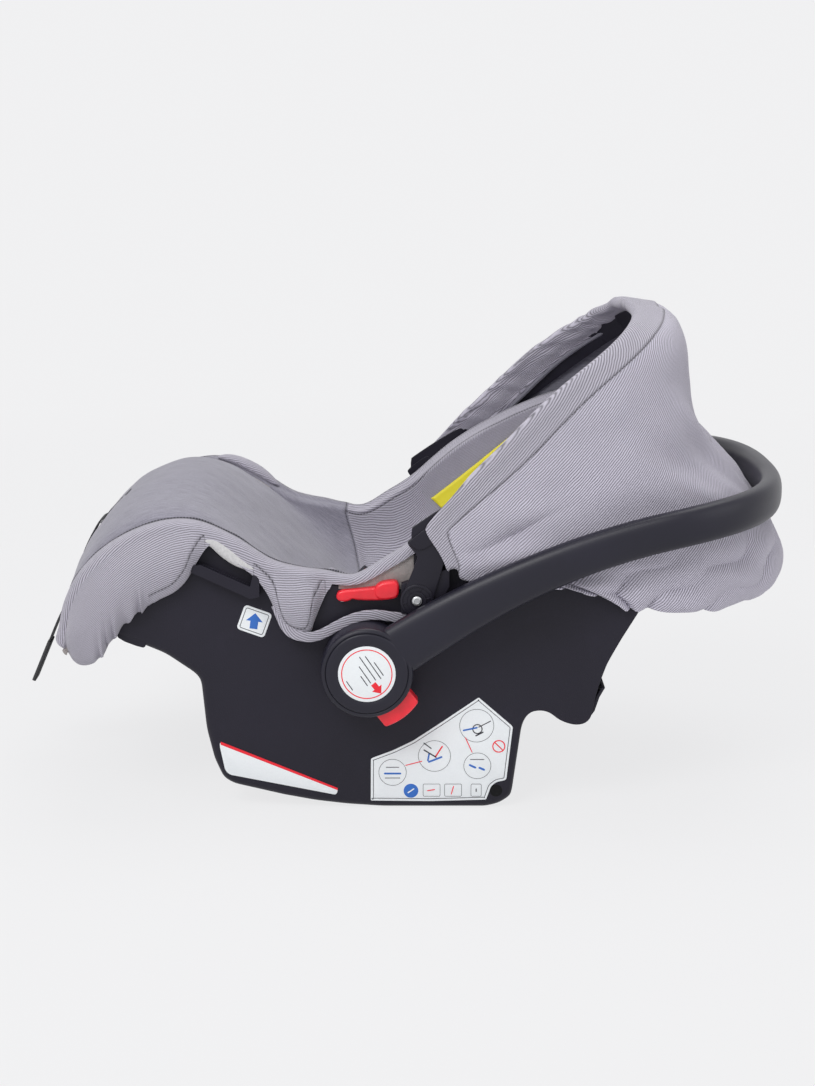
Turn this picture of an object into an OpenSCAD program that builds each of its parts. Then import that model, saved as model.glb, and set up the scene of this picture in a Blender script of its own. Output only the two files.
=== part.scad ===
// Infant car seat of the rear facing carrier kind: a moulded bucket on two rocker skirts,
// a carry handle that turns on two hubs, a folding hood, a sewn cover and a harness.
// X runs from the feet to the head, Y across the seat, Z up. Millimetres.
// The bucket, cover, straps and hood are lofts: rows of points laid out by formula.

/* [Bucket] */
// Length of the bucket from its lowest point to the foot lip
foot_len = 326; // [300:1:335]
// Length of the bucket from its lowest point to the head lip
head_len = 290; // [280:1:300]
// Height of the bucket's lowest point
bight_h = 126; // [110:1:140]
// Height of the crest under the knees
knee_h = 288; // [275:1:295]
// Height of the head lip
head_h = 346; // [335:1:352]
// Lowest height of the side rim
rim_h = 227; // [222:1:234]
// Inside width of the bucket at its widest
bucket_w = 342; // [330:1:344]
// Wall of the bucket and of the skirts
wall = 3; // [2.4:0.1:4]
// How far the rim lip turns outwards
lip_w = 13; // [10:0.5:13]
// How far the rim lip hangs down
lip_drop = 12; // [8:1:14]

/* [Skirts] */
// Gap between the bucket's wall and each skirt
skirt_gap = 1; // [0.6:0.1:1.4]
// Width of the runner turned in along each skirt's lower edge
runner_w = 16; // [10:1:24]
// Thickness of the runner
runner_t = 4; // [3:0.5:6]
// Diameter of the steel rods for a vehicle base
rod_d = 10; // [8:0.5:12]

/* [Handle] */
// Gap between the hood and each arm
arm_gap = 1.7; // [1.2:0.1:4]
// Thickness of the arms
arm_t = 23; // [18:0.5:23]
// Depth of the arm at the hub
arm_root_h = 50; // [44:1:56]
// Depth of the grip
grip_h = 36; // [30:1:40]
// How much further than the hood's crown the handle reaches
handle_margin = 61; // [58:1:66]
// Rise from the hub axis to the middle of the grip
handle_rise = 151; // [145:1:160]
// Slope of the arms where they leave the hubs
arm_slope = 36; // [34:0.5:38]
// Diameter of the hubs
hub_d = 88; // [84:1:92]
// Diameter of the hub axle
axle_d = 16; // [12:0.5:20]
// Travel of the handle's release button
button_travel = 6; // [3:0.5:8]

/* [Hood] */
// Angle of the front hoop above the horizontal
hood_angle = 49; // [46:1:52]
// Distance from the hood pivot to the crown of the front hoop
hood_reach = 344; // [336:1:350]
// Thickness of the hood cloth with its lining
hood_t = 2; // [1.2:0.1:2.4]
// Width of the bracket arms
bracket_w = 28; // [22:1:30]
// Thickness of the bracket arms
bracket_t = 2.5; // [2:0.1:3]

/* [Cover and harness] */
// Thickness of the padded cover inside the bucket
pad_t = 12; // [8:0.5:16]
// Thickness of the cover over the rim
hem_t = 3; // [2:0.5:4]
// Width of the shoulder straps
strap_w = 38; // [34:1:42]
// Thickness of the harness webbing
web_t = 1.6; // [1.2:0.1:2.4]
// Distance between the middles of the shoulder straps
strap_gap = 92; // [84:2:110]

/* [Hidden] */
$fn = 48;

clear = 0.4; // gap between pieces that lie against each other
run = 0.05; // radial clearance of a turning fit
left = -1; // the side towards -Y
right = 1;

charcoal = [0.1, 0.105, 0.115];
red = [0.8, 0.08, 0.1];
cloth_grey = [0.62, 0.62, 0.66];
steel = [0.7, 0.71, 0.73];
web_grey = [0.2, 0.2, 0.22];

lever_pin_d = 5;

// Places shared by several pieces
bight_x = -24;
hub = [-52.5, rim_h - 79];
hood_pivot = [-5, rim_h - 14];
lever_pivot = [-76, rim_h - 12];
rod_front = [-174, 36];
rod_rear = [72.7, 18];
rod_end_d = rod_d - 2;
rim_y = bucket_w / 2;
lip_y = rim_y + wall + lip_w;
skirt_y = rim_y + wall + skirt_gap + wall;
skirt_w = 2 * skirt_y;
bracket_in = lip_y + hem_t + clear;
hood_half_w = bracket_in + bracket_t + clear + hood_t;
arm_y = hood_half_w + arm_gap + arm_t / 2;
handle_reach = hood_reach + handle_margin;

// ---- numbers along a curve ----
function spline(a, b, c, d, t) =
    0.5 * (2 * b + (c - a) * t + (2 * a - 5 * b + 4 * c - d) * t * t
        + (3 * b - a - 3 * c + d) * t * t * t);
function smooth(rows, n) = [
    for (i = [0:len(rows) - 2], k = [0:n - 1])
        spline(rows[max(i - 1, 0)], rows[i], rows[i + 1], rows[min(i + 2, len(rows) - 1)], k / n),
    rows[len(rows) - 1]];
function reversed(v) = [for (i = [len(v) - 1:-1:0]) v[i]];
function unit2(v) = v / norm(v);
function spread(a, b, n) = [for (i = [0:n]) a + (b - a) * i / n];
function bell(x, middle, width) = exp(-pow((x - middle) / width, 2));
function ease(t) = let (c = min(max(t, 0), 1)) c * c * (3 - 2 * c);
function shelf(x, middle, half, fade) = 1 - ease((abs(x - middle) - half) / fade);

// A closed solid between two grids of points that have the same rows and columns.
module slab(top, under) {
    rows = len(top);
    cols = len(top[0]);
    function t(i, j) = i * cols + j;
    function u(i, j) = rows * cols + i * cols + j;
    quads = [
        for (i = [0:rows - 2], j = [0:cols - 2]) [t(i, j), t(i, j + 1), t(i + 1, j + 1), t(i + 1, j)],
        for (i = [0:rows - 2], j = [0:cols - 2]) [u(i, j), u(i + 1, j), u(i + 1, j + 1), u(i, j + 1)],
        for (i = [0:rows - 2]) [t(i, 0), t(i + 1, 0), u(i + 1, 0), u(i, 0)],
        for (i = [0:rows - 2]) [t(i, cols - 1), u(i, cols - 1), u(i + 1, cols - 1), t(i + 1, cols - 1)],
        for (j = [0:cols - 2]) [t(0, j), u(0, j), u(0, j + 1), t(0, j + 1)],
        for (j = [0:cols - 2]) [t(rows - 1, j), t(rows - 1, j + 1), u(rows - 1, j + 1), u(rows - 1, j)]];
    faces = [for (q = quads) each [[q[0], q[1], q[2]], [q[0], q[2], q[3]]]];
    polyhedron([for (r = top) each r, for (r = under) each r], faces);
}

// ---- the bucket's form ----
// Each station: floor x, floor height, rim x, rim height and half width, all as shares of the
// foot or head length, of the rise from the bight, and of the bucket's half width.
foot_form = [
    [1.000, 0.31, 0.985, 0.31, 0.85], [0.970, 0.50, 0.960, 0.48, 0.92], [0.915, 0.72, 0.910, 0.66, 0.97],
    [0.825, 0.91, 0.825, 0.82, 0.99], [0.710, 1.00, 0.710, 0.93, 1.00], [0.600, 0.96, 0.600, 0.95, 1.00],
    [0.480, 0.78, 0.490, 0.86, 1.00], [0.340, 0.51, 0.370, 0.71, 1.00], [0.205, 0.25, 0.235, 0.65, 1.00],
    [0.095, 0.07, 0.120, 0.63, 1.00], [0.000, 0.00, 0.015, 0.735, 1.00]];
head_form = [
    [0.115, 0.03, 0.085, 0.63, 0.995], [0.300, 0.21, 0.240, 0.80, 0.975], [0.500, 0.43, 0.445, 0.96, 0.94],
    [0.700, 0.65, 0.665, 1.07, 0.89], [0.870, 0.84, 0.840, 1.08, 0.79], [0.965, 0.955, 0.95, 1.03, 0.64],
    [1.000, 1.00, 1.00, 1.00, 0.48]];
foot_rise = knee_h - bight_h;
head_rise = head_h - bight_h;
rim_share = 101 / 162; // the lowest rim's share of the foot rise, as the forms are drawn
rim_shift = rim_h - bight_h - rim_share * foot_rise;
function shifted(share) = rim_shift * (1 - ease((share - 0.4) / 0.6));
stations = smooth(concat(
    [for (s = foot_form) [bight_x - s[0] * foot_len, bight_h + s[1] * foot_rise,
        bight_x - s[2] * foot_len, bight_h + s[3] * foot_rise + shifted(s[0]), s[4] * rim_y]],
    [for (s = head_form) [bight_x + s[0] * head_len, bight_h + s[1] * head_rise,
        bight_x + s[2] * head_len, bight_h + s[3] * head_rise + shifted(s[0]), s[4] * rim_y]]), 2);
last = len(stations) - 1;
boxy = 3; // how square the bucket's sections are

function floor_at(i) = [stations[i][0], stations[i][1]];
function rim_at(i) = [stations[i][2], stations[i][3]];
function half_w(i) = stations[i][4];
function rim_z(x) = lookup(x, [for (s = stations) [s[2], s[3]]]);
function along(i) = unit2(floor_at(min(i + 1, last)) - floor_at(max(i - 1, 0)));
function above(i) = [-along(i)[1], along(i)[0]];
tuck_x = hub[0] + 4;
tuck_half = 40;
tuck_fade = 24;
// The lip is tucked back where the levers stand, and its edge dies out at both ends.
// Over the skirts the lip keeps one outer width, also where the bucket narrows.
function edge_at(i) = let (own = half_w(i) + wall + lip_w, x = rim_at(i)[0],
    kept = own + (lip_y - own) * ease((x + 330) / 30) * ease((92 - x) / 40))
    kept - (kept - skirt_y) * shelf(x, tuck_x, tuck_half, tuck_fade);
function lip_at(i) = edge_at(i) - half_w(i) - wall;
function tucked(i) = edge_at(i) < skirt_y + wall + 1
    || abs(rim_at(i)[0] - tuck_x) < tuck_half + tuck_fade + 4;
function drop_at(i) = tucked(i) ? wall : lip_drop;

// A point of the bucket's inner face, moved inwards by off; turn runs from -90 to 90 across it.
function in_bucket(i, turn, off, lift = 0) =
    let (f = floor_at(i) + off * above(i), r = rim_at(i) + [0, lift], s = pow(abs(sin(turn)), 2 / boxy),
        g = 1 - pow(max(cos(turn), 0), 2 / boxy), p = f + (r - f) * g)
    [p[0], sign(turn) * (half_w(i) - off) * s, p[1]];
// Half a section: the lip's edge, the lip's corner, then the wall down to the floor.
turns = [-90, -78, -66, -54, -42, -30, -18, -7];
function half_row(i, off, lip_off, lift, drop) =
    let (y = half_w(i) + wall + lip_at(i) + lip_off, r = rim_at(i)) concat(
        [[r[0], -y, r[1] - drop], [r[0], -y, r[1] + lift]], [for (t = turns) in_bucket(i, t, off, lift)]);
function mirrored(row) = [for (p = reversed(row)) [p[0], -p[1], p[2]]];
function bucket_row(i, off, lip_off, lift, drop) =
    let (h = half_row(i, off, lip_off, lift, drop)) concat(h, [in_bucket(i, 0, off, lift)], mirrored(h));

// ---- shell ----
slot_stations = [25, 26, 27]; // where the shoulder straps can pass through the back
crotch_at = -89;

// Stands its children on the bucket's floor at a station, X towards the head, Z away from the floor.
module on_floor(i, off) {
    p = floor_at(i) + off * above(i);
    translate([p[0], 0, p[1]]) rotate([0, -atan2(along(i)[1], along(i)[0]), 0]) children();
}
module strap_slots(depth) {
    for (i = slot_stations, s = [left, right])
        on_floor(i, 0) translate([0, s * strap_gap / 2, 0]) cube([7, strap_w + 6, depth], center = true);
}
module seat_shell() {
    color(charcoal) difference() {
        slab([for (i = [0:last]) bucket_row(i, 0, 0, 0, drop_at(i))],
            [for (i = [0:last]) bucket_row(i, -wall, -wall, -wall, drop_at(i))]);
        strap_slots(30);
    }
}

// ---- skirts ----
// The rim's underside between two places, followed by the skirt's top edge.
function rim_under(x0, x1) = [for (i = [0:last]) if (rim_at(i)[0] > x0 && rim_at(i)[0] < x1)
    rim_at(i) - [0, wall + clear]];
sole = [[-220, 136], [-214.5, 130], [-210, 80], [-203, 50], [-195, 31], [-186, 24], [-135, 11.8],
    [-104, 6], [-74, 2.4], [-39, 0], [64, 0], [78, 4], [88, 12]];
heel = [[97, 82], [100, 92], [107, 98.5], [116, 100], [124, 98], [132, 91], [141, 86.5], [150, 84.5],
    [159, 86.5], [164.5, 92], [168, 112], [172, 127], [179, 147], [192, 171], [223, 223], [224, 250],
    [208, 282], [100, 288]];
module skirt_outline() {
    polygon(concat([[-295, 175.5], [-248, 155.5]], sole, heel, reversed(rim_under(-304, 50)), [[-315, 206]]));
}
module skirt_shape() {
    difference() {
        skirt_outline();
        translate(rod_front) circle(d = rod_end_d);
        translate(rod_rear) circle(d = rod_end_d);
        translate(hub) circle(d = axle_d);
        translate(lever_pivot) circle(d = lever_pin_d);
    }
}
// Extrudes an outline in X and Z from the plane y0 outwards by depth, on one side.
module slice(side, y0, depth) {
    translate([0, side * (y0 + (side < 0 ? 0 : depth)), 0]) rotate([90, 0, 0])
        linear_extrude(depth) children();
}
module runner_outline() {
    n = len(sole);
    polygon(concat(sole, [for (k = [n - 1:-1:0])
        sole[k] + runner_t * unit2(let (d = sole[min(k + 1, n - 1)] - sole[max(k - 1, 0)]) [-d[1], d[0]])]));
}
module side_skirt(side) {
    color(charcoal) union() {
        slice(side, skirt_y - wall, wall) skirt_shape();
        slice(side, skirt_y - wall - runner_w, runner_w) difference() {
            runner_outline();
            translate(rod_front) circle(d = rod_end_d);
            translate(rod_rear) circle(d = rod_end_d);
        }
    }
}
module side_skirt_left() side_skirt(left);
module side_skirt_right() side_skirt(right);

// ---- walls and rods between the skirts ----
inner_w = skirt_w - 2 * wall;
module cross_wall(line) {
    rotate([90, 0, 0]) linear_extrude(inner_w - 2 * runner_w, center = true) polygon(concat(line,
        [for (k = [len(line) - 1:-1:0]) line[k] + wall * unit2(let (d = line[min(k + 1, len(line) - 1)]
            - line[max(k - 1, 0)]) [-d[1], d[0]])]));
}
// Lightening holes in a row across a wall.
hole_pitch = 60;
module wall_holes(at, d) {
    for (y = [-1.5:1:1.5]) translate([at[0], y * hole_pitch, at[1]]) rotate([0, 90, 0])
        cylinder(d = d, h = 40, center = true);
}
module front_cross_wall() {
    color(charcoal) difference() {
        cross_wall([sole[1], sole[2], sole[3], sole[4], sole[5]]);
        wall_holes([-194, 80], 36);
    }
}
module rear_cross_wall() {
    color(charcoal) difference() {
        cross_wall([sole[12], heel[0], heel[1]]);
        wall_holes([107, 48], 30);
    }
}
// A rod with a shoulder at each runner; its thinner ends sit in the skirts.
module latch_rod(at) {
    color(steel) translate([at[0], 0, at[1]]) rotate([90, 0, 0]) {
        cylinder(d = rod_d, h = inner_w - 2 * runner_w, center = true);
        cylinder(d = rod_end_d, h = skirt_w - 2, center = true);
    }
}
module front_latch_rod() latch_rod(rod_front);
module rear_latch_rod() latch_rod(rod_rear);

// ---- sockets for a pushchair's adapters, open at the bottom ----
adapter = [40, 16, 60]; // room for the adapter's tongue
socket_wall = 3;
socket_foot = hub[1] - 82;
latch_d = 12; // hole that the adapter's latch snaps into
module adapter_socket(side) {
    box = adapter + socket_wall * [2, 2, 1];
    color(charcoal) translate([hub[0], side * (skirt_y - wall - box[1] / 2), socket_foot]) difference() {
        translate([-box[0] / 2, -box[1] / 2, 0]) cube(box);
        translate([-adapter[0] / 2, -adapter[1] / 2, -1]) cube(adapter + [0, 0, 1]);
        translate([0, 0, adapter[2] - latch_d]) rotate([90, 0, 0])
            cylinder(d = latch_d, h = box[1] + 3, center = true);
    }
}
module adapter_socket_left() adapter_socket(left);
module adapter_socket_right() adapter_socket(right);

// ---- hubs ----
socket_t = 8;
hub_in = skirt_y + socket_t + clear;
hub_out = arm_y + arm_t / 2;
cover_t = 5;
module hub_socket(side) {
    color(charcoal) slice(side, skirt_y, socket_t) translate(hub) difference() {
        circle(d = hub_d - 2);
        circle(d = axle_d);
    }
}
module hub_socket_left() hub_socket(left);
module hub_socket_right() hub_socket(right);
axle_head = 3; // thickness of the head that holds the axle to the skirt's inner face
module hub_axle(side) {
    color(steel) {
        slice(side, skirt_y - wall, hub_out - cover_t - 2 - skirt_y + wall) translate(hub) circle(d = axle_d);
        slice(side, skirt_y - wall - axle_head, axle_head) translate(hub) circle(d = axle_d + 10);
    }
}
module hub_axle_left() hub_axle(left);
module hub_axle_right() hub_axle(right);

// ---- handle ----
bend_len = 127; // length of the U's rounded part along X
arm_arch = (tan(arm_slope) * handle_reach - handle_rise) / pow(handle_reach, 2);
function arm_z(dx) = hub[1] + tan(arm_slope) * dx - arm_arch * dx * dx;
function arm_h(dx) = grip_h + (arm_root_h - grip_h) * exp(-pow(max(dx, 0) / 130, 2));
// The grip's middle line, seen from above: straight arms, then a quarter of a superellipse.
handle_dx = concat(spread(14, handle_reach - bend_len, 7), [for (a = [12, 24, 36, 48, 60, 72, 82, 90])
    handle_reach - bend_len + bend_len * pow(sin(a), 0.91)]);
handle_y = concat([for (k = [0:7]) arm_y], [for (a = [12, 24, 36, 48, 60, 72, 82, 90])
    arm_y * pow(cos(a), 0.77)]);
handle_line = let (n = len(handle_dx), half = [for (k = [0:n - 1])
    [hub[0] + handle_dx[k], -handle_y[k], arm_z(handle_dx[k])]])
    concat(half, [for (k = [n - 2:-1:0]) [half[k][0], -half[k][1], half[k][2]]]);
handle_n = len(handle_line);
// Section of the grip: a flattened oval, depth across the arm and thickness along the U's normal.
function bent(v, power) = sign(v) * pow(abs(v), power);
function oval(a, w, h) = [w / 2 * bent(cos(a), 0.7), h / 2 * bent(sin(a), 0.7)];
function handle_ring(k, from, to) = let (
    d0 = handle_line[min(k + 1, handle_n - 1)] - handle_line[max(k - 1, 0)], d = d0 / norm(d0),
    side0 = cross(d, [0, 0, 1]), side = side0 / norm(side0), up = cross(side, d),
    h = arm_h(handle_line[k][0] - hub[0]))
    [for (a = spread(from, to, 7)) let (p = oval(a, arm_t, h)) handle_line[k] + side * p[0] + up * p[1]];
// The drum at each end turns on the socket; its outer edge is turned round in three steps.
module drum(side) {
    r = hub_d / 2;
    h = hub_out - hub_in - 2;
    translate([hub[0], side * hub_in, hub[1]]) rotate([side * -90, 0, 0]) rotate_extrude()
        polygon([[0, 0], [r - 0.8, 0], [r, 0.8], [r, h - 4], [r - 0.3, h - 2.4], [r - 0.9, h - 1],
            [r - 1.6, h], [0, h]]);
}
module handle_frame() {
    color(charcoal) difference() {
        union() {
            slab([for (k = [0:handle_n - 1]) handle_ring(k, 8, 172)],
                [for (k = [0:handle_n - 1]) handle_ring(k, -8, -172)]);
            for (s = [left, right]) drum(s);
        }
        for (s = [left, right]) {
            slice(s, hub_in - 1, hub_out - cover_t - hub_in - 1) translate(hub) circle(d = axle_d + 2 * run);
            slice(s, hub_out - cover_t, 30) translate(hub) circle(d = hub_d - 5);
            slice(s, hub_in + button_at, button_t + 2 * clear) button_slot();
        }
    }
}

// ---- release buttons ----
button_dir = -52; // where the button stands on the hub's edge
button_t = 16;
button_w = 40;
button_in = 27;
button_out = hub_d / 2 + 13.5;
button_at = 8; // from the hub's inner face to the button's slot
module at_button() {
    translate(hub) rotate(button_dir) children();
}
module button_slot() {
    at_button() translate([button_in - button_travel - clear, -button_w / 2 - clear])
        square([hub_d, button_w + 2 * clear]);
}
module button_shape() {
    at_button() intersection() {
        circle(r = button_out);
        translate([button_in, -button_w / 2]) square([button_out, button_w]);
    }
}
module release_button(side) {
    color(red) slice(side, hub_in + button_at + clear, button_t) button_shape();
}
module release_button_left() release_button(left);
module release_button_right() release_button(right);
module button_spring(side) {
    color(steel) slice(side, hub_in + button_at + clear + button_t / 2 - 3, 6) at_button()
        translate([button_in - button_travel - clear, -3]) square([button_travel + clear, 6]);
}
module button_spring_left() button_spring(left);
module button_spring_right() button_spring(right);

// The cover is a shallow dome that closes the hub.
module hub_cover(side) {
    r = hub_d / 2 - 2.5 - clear / 2;
    color(charcoal) translate([hub[0], side * (hub_out - cover_t), hub[1]]) rotate([side * -90, 0, 0])
        rotate_extrude() polygon([[0, 0], [r, 0], [r, cover_t - 1.6], [r - 1.2, cover_t - 0.4],
            [r - 3, cover_t], [30, cover_t], [29.4, cover_t - 0.6], [0, cover_t - 0.6]]);
}
module hub_cover_left() hub_cover(left);
module hub_cover_right() hub_cover(right);

// ---- levers that free the seat from a pushchair ----
lever_t = 6;
lever_boss_r = 6.5;
lever_in = skirt_y + clear;
module lever_shape() {
    difference() {
        union() {
            circle(r = lever_boss_r);
            polygon([[0, -lever_boss_r], [26, -3], [48, -5], [54, -1], [54, 15], [49, 17.3], [36, 16.3],
                [30, 8.3], [16, 6], [0, lever_boss_r]]);
        }
        circle(d = lever_pin_d + 2 * run);
    }
}
module stroller_lever(side) {
    color(red) slice(side, lever_in, lever_t) translate(lever_pivot) lever_shape();
}
module stroller_lever_left() stroller_lever(left);
module stroller_lever_right() stroller_lever(right);
module lever_pin(side) {
    color(steel) {
        slice(side, skirt_y - wall, wall + clear + lever_t + clear) translate(lever_pivot)
            circle(d = lever_pin_d);
        slice(side, lever_in + lever_t + clear, 1.2) translate(lever_pivot) circle(d = lever_pin_d + 4);
    }
}
module lever_pin_left() lever_pin(left);
module lever_pin_right() lever_pin(right);

// ---- belt guides and belt hook ----
guide_x = -187;
guide_at = [guide_x, rim_z(guide_x)];
module belt_guide(side) {
    color(charcoal) difference() {
        slice(side, skirt_y, 12) translate(guide_at) polygon([[-33, -27], [23, -53], [32, -51], [32, -31],
            [26, -29], [23, -41], [-23, -20], [-31, -20]]);
        slice(side, skirt_y + 3, 6) translate(guide_at) polygon([[-26, -27], [20, -48], [27, -45], [27, -25],
            [-26, -5]]);
    }
}
module belt_guide_left() belt_guide(left);
module belt_guide_right() belt_guide(right);
module rear_belt_hook() {
    color(charcoal) rotate([90, 0, 0]) linear_extrude(inner_w, center = true)
        polygon([[138, 91], [163, 91], [168, 98], [172.5, 112], [178, 122], [174.5, 122], [169, 113],
            [164.6, 99.5], [161, 94.5], [138, 94.5]]);
}

// ---- hood ----
lug_bore = 7; // the pivot screw's shank
module hood_lug(side) {
    color(charcoal) slice(side, skirt_y, bracket_in - clear - skirt_y) translate(hood_pivot) difference() {
        polygon([[-15, -13], [15, -15], [31, 13], [31, 31], [-15, 15]]);
        circle(d = lug_bore);
    }
}
module hood_lug_left() hood_lug(left);
module hood_lug_right() hood_lug(right);
module hood_screw(side) {
    color(steel) {
        slice(side, skirt_y, bracket_in + bracket_t + clear - skirt_y) translate(hood_pivot)
            circle(d = lug_bore);
        slice(side, bracket_in + bracket_t + clear, 1.6) translate(hood_pivot) circle(d = lug_bore + 4);
    }
}
module hood_screw_left() hood_screw(left);
module hood_screw_right() hood_screw(right);
bracket_len = 78;
bracket_lean = 84;
bracket_disc_r = 16;
bracket_waist = 6; // how far the arm draws in above the disc
module hood_bracket(side) {
    w = bracket_w / 2;
    color(charcoal) slice(side, bracket_in, bracket_t) translate(hood_pivot) difference() {
        union() {
            circle(r = bracket_disc_r);
            rotate(bracket_lean) polygon([[0, -w], [22, -w], [34, bracket_waist - w],
                [bracket_len - 4, bracket_waist - w], [bracket_len, 4 + bracket_waist - w],
                [bracket_len, w - 4], [bracket_len - 4, w], [0, w]]);
        }
        circle(d = lug_bore + 2 * run);
    }
}
module hood_bracket_left() hood_bracket(left);
module hood_bracket_right() hood_bracket(right);

// Each hoop of the hood lies in a plane through the pivot axis. Rows: angle, crown distance,
// squareness, and the lowest distance from the pivot at which the cloth starts.
hood_form = [[0, 344, 3.5, 70], [-3, 360, 3.4, 70], [-6.5, 361, 3.4, 72], [-13, 336, 3.8, 80],
    [-22, 317, 4.2, 98], [-31, 327, 4.2, 122], [-38, 350, 4.2, 148], [-43, 368, 4.2, 166],
    [-48, 372, 4.2, 184]];
hood_rows = smooth(hood_form, 2);
hood_turns = [for (k = [0:16]) -1 + k / 8];
function hood_point(row, t, inset) = let (
    reach = (row[1] / 344) * hood_reach - inset, half = hood_half_w - inset, n = row[2], low = row[3],
    r = low + (reach - low) * sin(90 * (1 - abs(t))),
    y = half * pow(1 - pow(min(r / reach, 1), n), 1 / n), flare = 27 * exp(-(r - 90) / 80) * exp(row[0] / 9),
    a = hood_angle + row[0] + flare)
    [hood_pivot[0] + r * cos(a), sign(t) * y, hood_pivot[1] + r * sin(a)];
module hood_fabric() {
    color(cloth_grey) slab([for (row = hood_rows) [for (t = hood_turns) hood_point(row, t, 0)]],
        [for (row = hood_rows) [for (t = hood_turns) hood_point(row, t, hood_t)]]);
}
module hood_hoop() {
    row0 = [-2.0, 344, 3.5, 71];
    row1 = [-5.5, 342, 3.6, 71];
    color(charcoal) slab([for (r = [row0, row1]) [for (t = hood_turns) hood_point(r, t, hood_t + clear)]],
        [for (r = [row0, row1]) [for (t = hood_turns) hood_point(r, t, hood_t + clear + 1.6)]]);
}

// ---- cover ----
// How far the cover hangs outside the rim: long lobes at the feet, little beside the hubs.
function hem_drop(i) = let (x = rim_at(i)[0])
    1.5 + 73 * bell(x, -300, 62) + 48 * bell(x, -112, 16) + 28 * ease((x - 20) / 60);
module seat_cover() {
    color(cloth_grey) difference() {
        slab([for (i = [0:last]) bucket_row(i, pad_t, hem_t, hem_t + clear, hem_drop(i))],
            [for (i = [0:last]) bucket_row(i, clear, clear, clear, hem_drop(i))]);
        strap_slots(60);
        on_floor(adjuster_i, 0) translate([-20 - clear, -adjuster_size[1] / 2 - clear, -20])
            cube([adjuster_size[0] + 2 * clear, adjuster_size[1] + 2 * clear, 60]);
    }
}

// ---- harness ----
// A strip laid on the bucket's face between two stations, from y0 to y1.
function strip_row(i, y0, y1, off) = [for (y = spread(y0, y1, 2))
    let (p = in_bucket(i, asin(pow(min(abs(y) / (half_w(i) - off), 1), boxy / 2)), off)) [p[0], y, p[2]]];
function station_near(x) = max([for (k = [0:last]) stations[k][0] <= x + 0.01 ? k : 0]);
strap_from = station_near(-24);
strap_to = slot_stations[1];
pad_from = station_near(60);
over_cover = pad_t + clear;
buckle_i = station_near(crotch_at);
buckle_off = over_cover + web_t + clear + 9 + 2.4;
buckle_size = [48, 44, 20];
tongue_t = 2;
// The shoulder straps draw together and lift off the cover as they near the buckle.
function strap_middle(i) = strap_gap / 2 - (strap_gap / 2 - strap_w / 2 - 3) * bell(floor_at(i)[0], -34, 90);
function strap_lift(i) = over_cover + 16 * bell(floor_at(i)[0], -34, 40);
function strap_rows(side, i0, i1, extra, w) = [for (i = [i0:i1])
    strip_row(i, side * strap_middle(i) - w / 2, side * strap_middle(i) + w / 2, strap_lift(i) + extra)];
function back_rows(side, off) = [for (i = [strap_to - 6:strap_to])
    strip_row(i, side * strap_gap / 2 - strap_w / 2, side * strap_gap / 2 + strap_w / 2, off)];
module shoulder_strap(side) {
    depth = over_cover + wall + clear + 2 * web_t;
    color(web_grey) union() {
        slab(strap_rows(side, strap_from, strap_to, web_t, strap_w),
            strap_rows(side, strap_from, strap_to, 0, strap_w));
        slab(back_rows(side, -wall - clear), back_rows(side, -wall - clear - web_t));
        on_floor(strap_to, over_cover + web_t - depth)
            translate([-web_t, side * strap_gap / 2 - strap_w / 2 + 0.5, 0])
                cube([2 * web_t, strap_w - 1, depth]);
    }
}
module shoulder_strap_left() shoulder_strap(left);
module shoulder_strap_right() shoulder_strap(right);
module shoulder_pad(side) {
    under = clear + web_t;
    color(cloth_grey) slab(strap_rows(side, pad_from, strap_to - 1, under + 8, strap_w + 22),
        strap_rows(side, pad_from, strap_to - 1, under, strap_w + 22));
}
module shoulder_pad_left() shoulder_pad(left);
module shoulder_pad_right() shoulder_pad(right);
module crotch_strap() {
    function rows(off) = [for (i = [buckle_i - 1:buckle_i + 2]) strip_row(i, -strap_w / 2, strap_w / 2, off)];
    color(web_grey) slab(rows(over_cover + web_t), rows(over_cover));
}
module crotch_pad() {
    off = over_cover + clear + web_t;
    function rows(off) = [for (i = [buckle_i - 2:buckle_i + 2]) strip_row(i, -32, 32, off)];
    color(cloth_grey) slab(rows(off + 9), rows(off));
}
module rounded_box(size, r) {
    linear_extrude(size[2]) hull() for (x = [r, size[0] - r], y = [r - size[1] / 2, size[1] / 2 - r])
        translate([x, y]) circle(r = r, $fn = 24);
}
press_at = 13; // middle of the round button from the buckle's foot
press_d = 24;
module buckle_body() {
    color(charcoal) on_floor(buckle_i, buckle_off) difference() {
        rounded_box(buckle_size, 8);
        translate([24, -19, 9.5]) cube([30, 38, 4]);
        translate([press_at, 0, 9]) cylinder(d = press_d, h = buckle_size[2]);
    }
}
module buckle_button() {
    color(red) on_floor(buckle_i, buckle_off) translate([press_at, 0, 13])
        cylinder(d = press_d - 2 * clear, h = buckle_size[2] - 12);
}
module buckle_tongue(side) {
    color(steel) on_floor(buckle_i, buckle_off) translate([28, side * 9.5, 10.5]) difference() {
        translate([0, -8.5, 0]) cube([26, 17, tongue_t]);
        translate([8, 0, -1]) cylinder(d = 8, h = 4);
        translate([18, -6.5, -1]) cube([4, 13, 4]);
    }
}
module buckle_tongue_left() buckle_tongue(left);
module buckle_tongue_right() buckle_tongue(right);
adjuster_i = 5;
adjuster_size = [40, 50, pad_t - 2 * clear];
module adjuster_housing() {
    color(charcoal) on_floor(adjuster_i, clear) translate([-20, 0, 0]) difference() {
        rounded_box(adjuster_size, 6);
        translate([10, -11, 4]) cube([20, 22, 20]);
        translate([-1, -14, adjuster_size[2] - 4]) cube([8, 28, 5]);
    }
}
module adjuster_button() {
    color(red) on_floor(adjuster_i, clear) translate([-20 + 10 + clear, -11 + clear, 8])
        cube([20 - 2 * clear, 22 - 2 * clear, adjuster_size[2] - 7]);
}
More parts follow.
